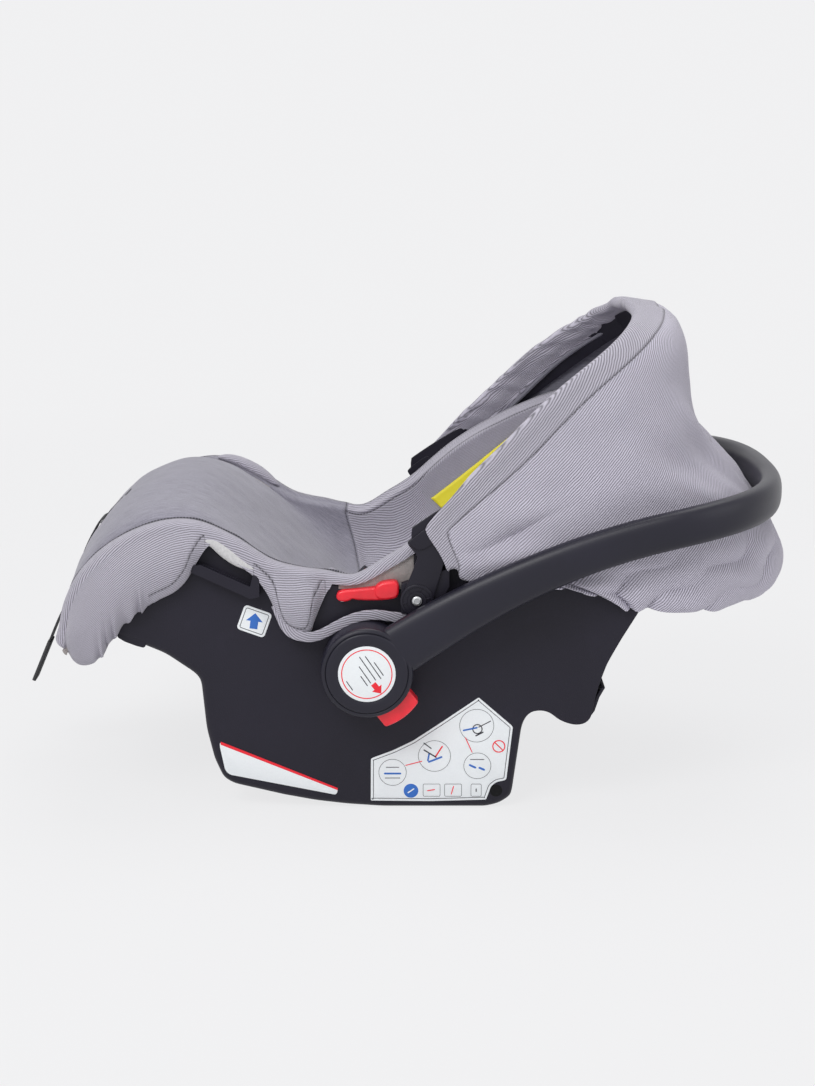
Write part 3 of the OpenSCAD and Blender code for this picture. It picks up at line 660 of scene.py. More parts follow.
def wadding(name, tone, scale=420.0):
    """Fluffy padding: matted fibres in the bump and a darker shade in the hollows."""
    f = Finish(name, Sheen_Weight=0.4, Specular_IOR_Level=0.2)
    c = colour(tone)
    n = f.noise(f.place(), scale, 5.0, 0.7)
    lump = f.noise(f.place(), 70.0, 3.0)
    base = f.mix(f.span(n, 0.3, 0.7), dim(c, 0.72), c)
    base = f.mix(f.span(lump, 0.3, 0.7, 0.0, 0.4), base, dim(c, 0.8))
    return f.wire(base, f.span(n, 0.2, 0.8, 0.9, 1.0), f.do("ADD", n, lump), 0.0008)


def printed(name, tone):
    """Printed film: even ink with a faint tooth, dust and rubbed edges."""
    f = Finish(name, Specular_IOR_Level=0.5)
    c = colour(tone)
    n = f.noise(f.place(), 700.0, 2.0)
    wear = f.span(f.noise(f.place(), 45.0, 5.0, 0.65), 0.55, 0.8, 0.0, 0.16)
    base = f.mix(wear, f.mix(n, dim(c, 0.95), dim(c, 1.03)), dim(c, 0.75))
    return f.wire(base, f.span(n, 0.2, 0.8, 0.37, 0.50), n, 0.00003)


MAKERS = {
    "shell plastic": lambda n: moulded(n, "charcoal", 0.50),
    # the rod bores' painted shade
    "bore": lambda n: moulded(n, "bore", 0.85),
    "handle plastic": lambda n: moulded(n, "handle", 0.38, 1500.0, 0.00006, 0.36),
    "hood plastic": lambda n: moulded(n, "charcoal", 0.36, 1200.0, 0.00008),
    "red plastic": lambda n: shiny(n, "red"),
    "steel": brushed,
    "twill": lambda n: twill(n, "twill", -13),
    "hood twill": lambda n: twill(n, "hood", -42, 0.68),
    "band twill": lambda n: twill(n, "twill", -46),
    "seat twill": lambda n: twill(n, "back", -40, 0.62),
    "seat melange": lambda n: melange(n, "panel"),
    "hood lining": lambda n: melange(n, "lining"),
    "piping": lambda n: melange(n, "lining", 0.7),
    "webbing": lambda n: woven_strap(n, "webbing"),
    "padding": lambda n: wadding(n, "padding"),
    "backing": lambda n: wadding(n, "backing", 300.0),
    "pad cloth": lambda n: melange(n, "twill"),
    "label": lambda n: printed(n, "paper"),
    "label border": lambda n: printed(n, "charcoal"),
    "label blue": lambda n: printed(n, "blue"),
    "label red": lambda n: printed(n, "red"),
    "yellow strip": lambda n: printed(n, "yellow"),
}


def finish(name):
    """The finish of that name, made the first time it is asked for."""
    return bpy.data.materials.get(name) or MAKERS[name](name)


# ---- forms shared by several pieces ----
LOWEST = 28.5  # the bucket's lowest point, along the seat from the hubs
LIP_ENDS = (-330, 92)  # places along the seat between which the rim's lip has its full width
# Shares of the foot or head length, of the rise from the lowest point and of the half width:
# floor along, floor up, rim along, rim up, width.
FOOT = [[1.000, 0.31, 0.985, 0.31, 0.85], [0.970, 0.50, 0.960, 0.48, 0.92], [0.915, 0.72, 0.910, 0.66, 0.97],
        [0.825, 0.91, 0.825, 0.82, 0.99], [0.710, 1.00, 0.710, 0.93, 1.00], [0.600, 0.96, 0.600, 0.95, 1.00],
        [0.480, 0.78, 0.490, 0.86, 1.00], [0.340, 0.51, 0.370, 0.71, 1.00], [0.205, 0.25, 0.235, 0.65, 1.00],
        [0.095, 0.07, 0.120, 0.63, 1.00], [0.000, 0.00, 0.015, 0.735, 1.00]]
HEAD = [[0.115, 0.03, 0.085, 0.63, 0.995], [0.300, 0.21, 0.240, 0.80, 0.975],
        [0.500, 0.43, 0.445, 0.96, 0.94], [0.700, 0.65, 0.665, 1.07, 0.89], [0.870, 0.84, 0.840, 1.08, 0.79],
        [0.965, 0.955, 0.95, 1.03, 0.64], [1.000, 1.00, 1.00, 1.00, 0.48]]


class Bucket:
    """The bucket's form on dense stations: floor line, rim line, half width, and the way out of the floor."""

    def __init__(self, per_span=16):
        x0 = HUB[0] + LOWEST
        rows = []
        for shares, reach, top in ((FOOT, -size.foot_len, size.knee_h), (HEAD, size.head_len, size.head_h)):
            s, rise = np.array(shares), top - size.bight_h
            rows.append(np.stack([x0 + s[:, 0] * reach, size.bight_h + s[:, 1] * rise, x0 + s[:, 2] * reach,
                                  size.bight_h + s[:, 3] * rise, s[:, 4] * size.bucket_w / 2], 1))
        st = smooth(np.vstack(rows), per_span)
        self.floor, self.rim, self.half = st[:, :2], st[:, 2:4], st[:, 4]
        self.along = slopes(self.floor)
        self.above = self.along[:, ::-1] * (-1, 1)
        self.up = at_y(self.above, 0)
        x = self.rim[:, 0]
        lip_y = size.bucket_w / 2 + size.wall + size.lip_w
        own = self.half + size.wall + size.lip_w
        kept = own + (lip_y - own) * ease((x - LIP_ENDS[0]) / 30) * ease((LIP_ENDS[1] - x) / 40)
        tuck = 1 - ease((np.abs(x - HUB[0] - 4) - 40) / 24)
        self.edge = kept - (kept - SKIRT_FACE) * tuck

    def rim_z(self, x):
        """Height of the rim at a place along the seat."""
        return np.interp(x, self.rim[:, 0], self.rim[:, 1])

    def station(self, x):
        """Index of the station whose floor is nearest to x, counted from the feet."""
        return int(np.argmin(np.abs(self.floor[:, 0] - x)))

    def inside(self, turn, off):
        """Points on the inner face, off away from the wall: from the floor's middle at turn 0 to the rim at
        90 degrees, as a superellipse of power 3."""
        a = np.radians(np.broadcast_to(turn, (len(self.half), np.shape(turn)[-1])))
        s, g = np.abs(np.sin(a)) ** (2 / 3), 1 - np.maximum(np.cos(a), 0) ** (2 / 3)
        f = (self.floor + off * self.above)[:, None]
        return at_y(f + (self.rim[:, None] - f) * g[..., None], np.sign(a) * (self.half[:, None] - off) * s)

    def line(self, y, off):
        """The line along the inner face at a set distance y from the middle, one y for each station."""
        y = np.broadcast_to(np.asarray(y, float), self.half.shape)
        share = np.clip(np.abs(y) / (self.half - off), 0, 1)
        p = self.inside(np.degrees(np.arcsin(share ** 1.5))[:, None], off)[:, 0]
        p[:, 1] = y
        return p


def even_turns(n):
    """Turns from 90 to 0 degrees, closer near both ends, so points on the section stand evenly."""
    q = np.linspace(1, 0, n)
    return 90 * q ** 1.5 / (q ** 1.5 + (1 - q) ** 1.5)


# The hood's rows: angle back from the front hoop, crown distance, squareness, lowest distance from the pivot.
HOOD = [[0, 344, 3.5, 42], [-3, 360, 3.4, 42], [-6.5, 361, 3.4, 45], [-13, 336, 3.8, 49], [-22, 319, 4.2, 47],
        [-31, 338, 4.1, 58], [-38, 356, 4.0, 86], [-43, 364, 4.0, 130], [-47.5, 366, 4.0, 172],
        [-50, 359, 3.9, 190], [-52, 343, 3.8, 200]]


def hood_points(rows, t):
    """The hood's surface: each row lies in a plane through the pivot axis. The distance from the pivot grows
    with the sine from the row's low to its crown, the width follows a superellipse of that distance, and
    the lower ends flare forward and curl back."""
    row = rows[:, None, :]
    half = HUB_FACE - size.arm_t - 1.7
    reach = row[..., 1] * size.hood_reach / HOOD[0][1]
    low, n = row[..., 3], row[..., 2]
    r = low + (reach - low) * np.sin(np.pi / 2 * (1 - np.abs(t)))
    y = half * (1 - np.minimum(r / reach, 1) ** n) ** (1 / n)
    flare = (2.6 * bell(r, 225, 75) * bell(row[..., 0], 0, 20) + 27 * np.exp(-(np.maximum(r, 72) - 90) / 80)
             - 40 * (np.maximum(72 - r, 0) / 32) ** 1.8)
    a = np.radians(49 + row[..., 0] + flare * np.exp(row[..., 0] / 9))
    return at_y(PIVOT + r[..., None] * np.stack([np.cos(a), np.sin(a)], -1), np.sign(t) * y)


def normals(p):
    """Directions out of a grid of points."""
    return unit(np.cross(np.gradient(p, axis=0), np.gradient(p, axis=1)))


def ribbon(shape, path, width, thick, up):
    """A flat strap along a path: a rounded flat section swept with its broad side square to up."""
    prof = rect(width, thick, thick * 0.45, 4)
    prof = np.vstack([prof, prof[:1]])
    walked = run_length(path)
    along = np.concatenate([[0], walked, walked[-1:]])
    uv = np.stack(np.broadcast_arrays(along[:, None], prof[:, 0]), -1)
    return shape.grid(capped(swept(path, prof, up)), flip=True, uv=uv)


# ---- stage ----
LENS = 66.7                            # focal length, in millimetres
CAMERA_AT = (-0.014, -2.0518, 0.6747)  # metres
CAMERA_DOWN = 12.3                     # degrees below level
# Each soft light: name, place and aim in metres, power in watts, and width in metres.
LIGHTS = (("key_light", (-1.5, -2.3, 2.9), (0, 0, 0.2), 66, 1.8),
          ("fill_light", (2.6, -1.6, 1.5), (0, 0, 0.2), 16, 2.4),
          ("top_light", (0.3, 1.0, 3.2), (0.05, 0, 0.2), 34, 2.2))
ROOM_LIGHT = 0.50   # strength of the pale room where it lights, 1 where it is seen
FLOOR_GLOW = 0.88   # share of the floor's own brightness where it is seen
FLOOR_FADE = (0.75, 2.6)  # distances in metres between which the floor fades into the room


class CARRIER_OT_stage(bpy.types.Operator):
    """Camera, soft lights, pale world and floor"""
    bl_idname = "carrier.stage"
    bl_label = "Stage"

    def execute(self, context):
        scene = context.scene
        cam = bpy.data.objects.new("camera", bpy.data.cameras.new("camera"))
        cam.data.lens, cam.data.sensor_width = LENS, 36
        cam.location = CAMERA_AT
        cam.rotation_euler = (math.radians(90 - CAMERA_DOWN), 0, 0)
        scene.collection.objects.link(cam)
        scene.camera = cam
        scene.view_settings.view_transform = "Standard"
        for name, place, aim, watts, wide in LIGHTS:
            light = bpy.data.lights.new(name, "AREA")
            light.energy, light.size = watts, wide
            lamp = bpy.data.objects.new(name, light)
            lamp.location = place
            way = np.array(aim) - np.array(place)
            lamp.rotation_euler = (math.acos(-way[2] / np.linalg.norm(way)), 0,
                                   math.atan2(way[1], way[0]) - math.pi / 2)
            scene.collection.objects.link(lamp)
        self.world(scene)
        self.floor()
        return {"FINISHED"}

    def world(self, scene):
        """Pale where it is seen, dimmer where it lights."""
        scene.world = bpy.data.worlds.new("pale room")
        scene.world.use_nodes = True
        nodes = Nodes(scene.world.node_tree)
        light = nodes.span(nodes.pale_rays(), 0.0, 1.0, ROOM_LIGHT, 1.0)
        nodes.join(nodes.tree.nodes["Background"].inputs, Color=colour("floor"), Strength=light)

    def floor(self):
        """A round floor that keeps the shadow near the object and fades into the room further out."""
        r = np.array([0, 400, 800, 1500, 3000, 7000])
        p = np.insert(r[:, None, None] * circle(1, 64), 2, 0.0, axis=-1)
        f = Finish("pale floor", Roughness=0.9, Specular_IOR_Level=0.1)
        c = colour("floor")
        f.join(f.shader.inputs, Base_Color=f.mix(f.noise(f.place(), 400.0), dim(c, 0.985), c))
        glow = f.add("ShaderNodeEmission", {0: c})
        share = f.do("MULTIPLY", f.pale_rays(), FLOOR_GLOW)
        lit = f.add("ShaderNodeMixShader", {0: share, 1: f.shader.outputs[0], 2: glow})
        away = f.add("ShaderNodeVectorMath", {0: f.place()}, out=1, operation="LENGTH")
        clear = f.add("ShaderNodeBsdfTransparent")
        whole = f.add("ShaderNodeMixShader", {0: f.span(away, *FLOOR_FADE), 1: lit, 2: clear})
        f.join(f.tree.nodes["Material Output"].inputs, Surface=whole)
        Shape().grid(p).build("floor", "pale floor", body=None)


# ---- adjuster strap ----
# The loose strap's line over the foot lip, as places along the seat and heights.
TAIL = [[-327.5, 256.5], [-333.5, 251.5], [-345, 231], [-353, 212], [-359.5, 193], [-364, 180], [-371, 165],
        [-380, 147], [-390, 124], [-399, 103], [-408, 82]]


class CARRIER_OT_adjuster_strap(bpy.types.Operator):
    """The adjuster's loose strap, which hangs over the foot lip"""
    bl_idname = "carrier.adjuster_strap"
    bl_label = "Adjuster strap"

    def execute(self, context):
        line = smooth(TAIL, 3)
        path = at_y(line, 0)
        up = at_y(slopes(line)[:, ::-1] * (-1, 1), 0)
        shape = ribbon(Shape(), path, size.tail_w, size.web_t, up)
        strap = shape.build("adjuster_strap_tail", "webbing", stands_for=["adjuster_strap"], slot="webbing")
        last = slice(-7, None)
        fold = ribbon(Shape(), path[last] + up[last] * 0.4, size.tail_w + 0.6, size.web_t * 2.4, up[last])
        end = fold.build("adjuster_strap_fold", "webbing", slot="webbing")
        path = path / 1000
        float(run_length(path)[-1])
        size.tail_w / 1000
        return {"FINISHED"}


# ---- bucket shell ----
# Depth of the rim's turned edge along the seat: shallow where the levers and brackets stand.
LIP_DROP = [[-350, 11], [-140, 11], [-126, 3], [30, 3], [44, 11]]


class CARRIER_OT_shell(bpy.types.Operator):
    """The moulded bucket under the cover"""
    bl_idname = "carrier.shell"
    bl_label = "Bucket shell"

    def execute(self, context):
        b = Bucket(8)
        turn = even_turns(26)
        half = b.inside(-turn, 0.0)
        x, z = b.rim.T
        drop = table(x, LIP_DROP)
        lip = [np.stack([x, -b.edge, z - drop * k], 1) for k in (1.0, 0.5, 0.12)]
        lip.append(np.stack([x, -b.edge + 1.2, z], 1))
        shape = Shape().grid(both_halves(np.concatenate([np.stack(lip, 1), half], 1)), flip=True)
        shape.build("bucket_shell", "shell plastic", stands_for=["seat_shell"], slot="shell_plastic",
                    thick=size.wall)
        self.ribs(b)
        return {"FINISHED"}

    def ribs(self, b):
        """Stiffening ribs moulded under the bucket, from its floor line outwards."""
        shape = Shape()
        keep = (b.floor[:, 0] > -170) & (b.floor[:, 0] < 200)
        for y in (-96, -58, 58, 96):
            ribbon(shape, b.line(y, -size.wall - 2.5)[keep], 2.4, 6.0, b.up[keep])
        shape.build("bucket_ribs", "shell plastic", slot="shell_plastic")


# ---- skirts ----
# The skirt's lower edge from the feet to the middle, its rear edge, and the small flange at the foot end.
SOLE = [[-220, 136], [-214.5, 130], [-210, 80], [-203, 50], [-195, 31], [-186, 24], [-135, 11.8], [-104, 6],
        [-74, 2.4], [-39, 0], [64, 0], [78, 4], [88, 12]]
HEEL = [[97, 82], [100, 92], [107, 98.5], [116, 100], [124, 98], [132, 91], [141, 86.5], [150, 84.5],
        [159, 86.5], [164.5, 92], [168, 112], [172, 127], [179, 147], [192, 171], [223, 223], [224, 250],
        [208, 282], [100, 288]]
FLANGE = [[-295, 178], [-292.5, 170.5], [-270, 161.8], [-266.4, 163.6], [-266, 171]]


class CARRIER_OT_skirts(bpy.types.Operator):
    """Both rocker skirts: flat faces with rounded lower edges turned in as runners"""
    bl_idname = "carrier.skirts"
    bl_label = "Skirts"

    def execute(self, context):
        b = Bucket(4)
        under = b.rim[(b.rim[:, 0] > -304) & (b.rim[:, 0] < 50)] - (0, size.wall + 0.4)
        corners = np.array([[-295, 175.5], [-248, 155.5]] + SOLE + HEEL)
        line = np.vstack([soften(evenly(np.vstack([[-315, 206], corners]), 7, False), 2, False), under[::-1]])
        line = against_clock(evenly(line, 3.0))
        low = ease((190 - line[:, 1]) / 30) * ease((under[:, 1].min() - line[:, 1]) / 20)
        r = 0.8 + (size.skirt_round - 0.8) * low * ease((112 - line[:, 0]) / 30)
        deep = 3.2 + 15.5 * low
        rings = [(3.5 * low + 0.4, 3.2), (3.5 * low, 3.4), (3.3 * low, deep - 0.6), (0.4 * low, deep),
                 (0 * low, deep - 0.5)]
        rings += [(r * (1 - math.cos(k)), r * (1 - math.sin(k))) for k in np.linspace(0, math.pi / 2, 7)]
        for side, name in SIDES:
            g = np.stack([at_y(inset(line, d), side * (SKIRT_FACE - y)) for d, y in rings])
            shape = Shape().grid(closed_rows(g), flip=side > 0)
            shape.lid(g[-1], flip=side > 0).lid(g[0], flip=side < 0)
            plate(shape, soften(FLANGE, 1), SKIRT_FACE - 26, SKIRT_FACE - 1.2, 1.0, side)
            shape.build("skirt_" + name, "shell plastic", stands_for=["side_skirt_" + name],
                        slot="shell_plastic", sharp=50)
            # a near black disc on the skirt face: painted shade inside the rear rod's bore
            bore = below(SKIRT_FACE, ((6.2, 0.2), (6.1, -0.15), (5.6, -0.25), (5.2, -0.05), (0, -0.04)))
            lathe(Shape(), bore, ROD_REAR, side, 40).build("rod_bore_" + name, "bore", slot="shell_plastic")
        return {"FINISHED"}


# ---- handle ----
GRIP_BEND = 127.0  # size of the bends between the arms and the grip
ARM_SLOPE = 36     # degrees at which the arms leave the hubs


class CARRIER_OT_handle(bpy.types.Operator):
    """The carrying handle and the two drums that turn on the hubs"""
    bl_idname = "carrier.handle"
    bl_label = "Handle"

    def execute(self, context):
        arm_y = HUB_FACE - size.arm_t / 2
        bend, reach = GRIP_BEND, size.handle_reach
        a = np.radians(np.linspace(0, 90, 44))
        dx = np.concatenate([np.linspace(10, reach - bend, 40)[:-1], reach - bend + bend * np.sin(a) ** 0.91])
        y = np.concatenate([np.full(39, arm_y), arm_y * np.maximum(np.cos(a), 0) ** 0.77])
        slope = math.tan(math.radians(ARM_SLOPE))
        arch = (slope * reach - size.handle_rise) / reach ** 2
        half = np.stack([HUB[0] + dx, -y, HUB[1] + slope * dx - arch * dx ** 2], 1)
        half[-1, 1] = 0
        path = evenly(both_halves(half[None])[0], 6.0, False)
        far = path[:, 0] - HUB[0]
        depth = size.grip_h + (size.arm_root_h - size.grip_h) * np.exp(-(far / 130) ** 2)
        thin = size.arm_t - 2.2 * bell(far, 0, 60)
        g = swept(path, power(circle(1, 40), (0.72, 0.78)) / 2, scale=np.stack([thin, depth], 1))
        shape = Shape().grid(g, flip=True)
        for end, flip in ((0, False), (-1, True)):
            shape.lid(g[end, :-1], flip=flip)
        inner = SKIRT_FACE + 8.4
        drum = [(8.5, inner), (43.0, inner), (44, inner + 0.8)]
        drum += below(HUB_FACE, ((44, 6.2), (43.7, 4.4), (43.0, 2.9), (41.9, 1.9), (40.6, 1.5), (39.6, 1.9),
                                 (39.4, 4.5), (8.5, 4.5)))
        for side, _ in SIDES:
            lathe(shape, drum, HUB, side, 96)
        shape.build("handle_grip", "handle plastic", "handle", ["handle_frame"], "handle_plastic", sharp=32)
        return {"FINISHED"}


LABEL_DEPTH = 1.2  # how deep the round labels lie in the hub covers


class CARRIER_OT_hubs(bpy.types.Operator):
    """The hub covers with their round labels"""
    bl_idname = "carrier.hubs"
    bl_label = "Hub covers"

    def execute(self, context):
        r = HUB_R - 2.0
        cap = below(HUB_FACE, ((0, 4.8), (r, 4.8), (r, 2.2), (r - 0.8, 1.1), (r - 2.2, 0.7), (29.4, 0.5),
                               (28.6, 1.1), (28, LABEL_DEPTH), (0, LABEL_DEPTH)))
        for side, name in SIDES:
            lathe(Shape(), cap, HUB, side, 96).build(
                "hub_cap_" + name, "handle plastic", "handle", ["hub_cover_" + name], "handle_plastic")
            self.label(side, name)
        return {"FINISHED"}

    def label(self, side, name):
        """A white disc with a thin red ring and a red arrow towards the release button."""
        face = HUB_FACE - LABEL_DEPTH
        label = Label(side, face)
        label.paper(circle(27.3, 72)[:-1] + HUB)
        ring = ((23.3, 0.2), (23.3, 0.32), (24.3, 0.32), (24.3, 0.2))
        g = np.stack([at_y(HUB + r * circle(1, 72), side * (face + h)) for r, h in ring])
        label.grid(g, flip=side < 0, zone=1)
        label.ink(turned(ARROW * 0.72, 38, HUB + (9.4, -13.6)), 1)
        for x, z, wide in ((11.4, 5.2, 16), (6.0, 6.6, 27), (0.8, 5.5, 28), (-1.8, -0.6, 20),
                           (-2.6, -6.6, 12), (-16.4, -11.3, 11)):
            label.ink(turned(rect(wide, 0.9, 0.4, 2), -56, HUB + (x, z)), 2, 0.32)
        label.build("hub_label_" + name, ["label", "label red", "label border"], "handle", sharp=30)


# ---- hood ----
class CARRIER_OT_hood(bpy.types.Operator):
    """The hood: one fan of cloth from the front hoop to the gathered hem behind the head"""
    bl_idname = "carrier.hood"
    bl_label = "Hood"

    def execute(self, context):
        rows = smooth(HOOD, 20)
        t = np.linspace(-1, 1, 161)
        p = hood_points(rows, (np.sign(t) * (1 - (1 - np.abs(t)) ** 1.15))[None])
        n = normals(p)
        back, up = run_length(p, 0), run_length(p, 1)
        up = np.minimum(up, up[:, -1:] - up)
        far = np.where(p[..., 1] > 0, 1.0, 0.0)
        angle = rows[:, 0][:, None]
        edge = back * (1 + 0.9 * np.exp(-up / 38))
        band = ease((size.hood_band + 1.5 - edge) / 3)
        move = 0.8 * band + 0.8 * bell(edge, 6, 6) + self.creases(p, back, up, angle, band)
        move += far * 1.4 * self.gathers(up) * band * ease((up - 60) / 80)
        flat, p = p, p + n * move[..., None]
        p, back, up = self.roll(p, n, back, up, far)
        inner = len(p) - len(rows)
        uv = self.cloth_map(np.concatenate([p[:inner], flat]))
        edge = np.vstack([back[:inner] - 4, edge])
        mark = np.stack([edge - size.hood_band, np.where(back < up, up, back)], -1)
        zone = np.where(edge < size.hood_band, 1, 0)
        zone[:inner] = 1
        shape = Shape().grid(p, flip=True, uv=uv, mark=mark, zone=zone)
        cloths = ["hood twill", "band twill", "hood lining", "band twill"]
        hood = shape.build("hood_canopy", cloths, "canopy", ["hood_fabric"], "hood_cloth",
                           thick=1.6, lining=2)
        down, over = np.diff(p[inner:], axis=0)[:, :-1], np.diff(p[inner:], axis=1)[:-1]
        area = np.linalg.norm(np.cross(down, over), axis=-1).sum() / 1e6
        tube(p[0, 8:-8], 2.4, 8, (0.7, 0.02, 0.7)).build("hood_piping", "piping", "canopy", slot="hood_cloth")
        return {"FINISHED"}

    def cloth_map(self, p):
        """Place of each point on the cloth: along the seat plus what is walked across it, and its height."""
        level = np.cumsum(np.abs(np.diff(p[..., 1], axis=1)), 1)
        return np.stack([p[..., 0] + np.pad(level, ((0, 0), (1, 0))), p[..., 2]], -1)

    def gathers(self, up):
        """Uneven small folds along the sewn front hem."""
        return np.sin(up / 5.6 + 1.9 * np.sin(up / 23) + 0.9 * np.sin(up / 9.7 + 1))

    def creases(self, p, back, up, angle, band):
        """Soft waves all over, long creases low on the sides, bunching behind the crown, and deep folds that
        run along the gathered part under the handle."""
        def fold(v):
            return 2 * np.abs(np.sin(v / 2)) ** 0.8 - 1
        x, z = p[..., 0] - PIVOT[0], p[..., 2] - PIVOT[1]
        crown = bell(p[..., 1], 0, 120)
        move = (1 - band) * 2.2 * ripple(up / 42, angle / 3.6 + up / 90, 3) * ease((back - 30) / 50)
        low = fold((z - 0.16 * x) / 8.6 + 1.7 * np.sin(x / 33)) + 0.6 * np.sin((z + 0.22 * x) / 9.3 + 2)
        move += 3.6 * low * bell(z, 60, 32) * bell(x, 92, 62) * (1 - band)
        front = fold((z + 0.5 * x) / 8.0 + np.sin(z / 17))
        move += 2.0 * front * bell(x, 36, 26) * bell(z, 30, 26) * (1 - band)
        rear = np.sin(up / 11 + 1.6 * np.sin(up / 27) + angle / 4) + 0.4 * np.sin(up / 6.1 + angle / 2.3)
        move += 3.0 * rear * bell(angle, -24, 10) * ease((up - 170) / 70)
        deep = fold(back / 6.4 + 1.9 * np.sin(up / 44) + 0.9 * np.sin(up / 17 + back / 21))
        move += 4.6 * deep * ease((-35 - angle) / 9) * (0.65 + 0.35 * np.sin(up / 37 + 1.3))
        lumps = np.sin(p[..., 1] / 13 + 1.1 * np.sin(p[..., 1] / 37)) - 0.6
        return move + 4.0 * crown * bell(back, 16, 13) * lumps

    def roll(self, p, n, back, up, far):
        """Carries the cloth round the front hoop and back inside as a loose, gathered hem."""
        r, wide = 1.2 + 4.4 * ease((up[0] - 75) / 50), size.hood_band + 5
        ahead = unit(p[0] - p[3])
        rows, backs = [], []
        for a in np.linspace(0, math.pi, 9)[1:]:
            rows.append(p[0] + ahead * r[:, None] * math.sin(a) - n[0] * r[:, None] * (1 - math.cos(a)))
            backs.append(np.zeros(p.shape[1]))
        both = np.concatenate([p, n], -1)
        for d in np.linspace(0, wide, 12)[1:]:
            q, m = np.split(at_walked(both, back, np.minimum(d, back[-1] * 0.6)), 2, axis=-1)
            loose = self.gathers(up[0] + 2.2 * d / wide) * ease((up[0] - 90) / 80) * (0.5 + 2.0 * far[0])
            loose = loose * (1 - 0.85 * bell(p[0, :, 1], 0, 95))
            hang = 0.62 * d * bell(p[0, :, 1], 0, 125)
            deep = 2 * r * (1 - 0.5 * (d / wide) ** 2) + hang + loose * math.sin(math.pi * d / wide)
            rows.append(q - unit(m) * deep[:, None])
            backs.append(np.full(p.shape[1], d))
        return (np.concatenate([rows[::-1], p]), np.concatenate([backs[::-1], back]),
                np.concatenate([np.broadcast_to(up[0], (len(rows), len(up[0]))), up]))


# Outlines of the bracket's arm and of its head, from the pivot, and of the hoop's socket behind it.
ARM = [[-14.5, -4], [-13, 8], [-6, 24], [0, 40], [0.5, 44], [-8.5, 54], [-9, 58], [9, 72], [16, 74], [26, 58],
       [27, 42], [21, 20], [16.5, 6], [15, -6], [5, -15.5], [-6, -14.5]]
ARM_HEAD = [[-8, 55], [-7.5, 58.5], [9, 71.5], [16, 73], [24, 62], [3, 47]]
SOCKET = [[-10, 263], [-10.5, 283], [-7, 286], [14.8, 301], [39.6, 316], [54, 321], [64, 315], [48, 303],
          [28, 288], [8, 271]]


class CARRIER_OT_hood_arms(bpy.types.Operator):
    """The bracket arms at the hood's pivots, with their screws"""
    bl_idname = "carrier.hood_arms"
    bl_label = "Hood brackets"

    def execute(self, context):
        outer, inner = (abs(corner[1]) * 1000 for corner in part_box("hood_bracket_left"))
        disc = below(outer, ((0, 0.4), (15.8, 0.4), (15.8, -0.9), (15.0, -1.4), (13.8, -1.4), (13.4, -0.5),
                             (9.4, -0.5), (9.0, -1.5), (6.6, -1.5), (6.2, -0.4), (0, -0.4)))
        screw = below(outer, ((0, 0), (4.6, 0), (4.6, -1.7), (4.0, -2.25), (2.6, -2.45), (2.2, -1.9),
                              (0, -1.8)))
        for side, name in SIDES:
            shape = plate(Shape(), soften(ARM, 2) + PIVOT, inner - 1.5, outer, 0.8, side)
            plate(shape, soften(ARM_HEAD, 2) + PIVOT, outer - 0.5, outer + 1.6, 1.0, side)
            plate(shape, soften(SOCKET, 1), inner - 0.2, inner + 2.6, 0.6, side)
            shape.build("hood_arm_" + name, "hood plastic", "canopy", ["hood_bracket_" + name],
                        "hood_plastic")
            hub = lathe(Shape(), disc, PIVOT, side, 64)
            for k in range(6):
                spoke = turned(rect(4.4, 1.5, 0.6, 3) + (11.4, 0), 60 * k + 12, PIVOT)
                plate(hub, spoke, outer + 0.4, outer + 1.2, 0.3, side, 0, 0.05, 2)
            hub.build("hood_disc_" + name, "hood plastic", "canopy", slot="hood_plastic")
            lathe(Shape(), screw, PIVOT, side, 40).build(
                "hood_pivot_screw_" + name, "steel", stands_for=["hood_screw_" + name], slot="steel")
        return {"FINISHED"}


# ---- cover ----
# The cover's lower edge, as places along the seat and heights.
HEM = [[-352, 160], [-345, 156], [-338, 148], [-328, 145], [-314, 150], [-304, 162], [-291, 180], [-276, 195],
       [-255, 210], [-236, 220], [-224, 232], [-216, 246], [-207, 261], [-199, 268], [-192, 266], [-184, 258],
       [-174, 247], [-160, 236], [-149, 221], [-142, 205], [-136, 188], [-129, 180], [-118, 176], [-108, 178],
       [-103, 191], [-97, 206], [-91, 219], [-86, 224]]
LOBE_END = -86     # where the hanging lobes end, along the seat
LOBE_ROWS = 26     # points of a lobe from its hem to the rim
TIGHT = 2.0        # how far the cover reaches under the rim where no lobe hangs
HEM_SEAM = 9.0     # distance of the hem's seam from the lower edge
SEAM_START = -262  # where that seam starts behind the gathered front, along the seat
KNEE_SEAM = -74    # place of the seam and crease across the seat
WING_SEAM = 16     # distance of the wings' seam from the top of the roll
# The elastic loop's line, its distance from the middle along the seat, and the line of the wadding.
LOOP = [[-139, 208], [-134.5, 196], [-130, 186.5], [-124, 180.5], [-115, 177.5], [-105, 177], [-95, 180],
        [-83, 186.5], [-70, 193], [-57, 197], [-44, 198], [-32, 196.5], [-18, 195], [-4, 196], [4, 198]]
LOOP_OUT = [[-139, 189], [-126, 190.3], [-112, 190.8], [-100, 190.3], [-80, 189], [-40, 187.5], [4, 186]]
WADDING = [[-206, 271], [-196, 268], [-184, 259], [-172, 250], [-160, 243]]


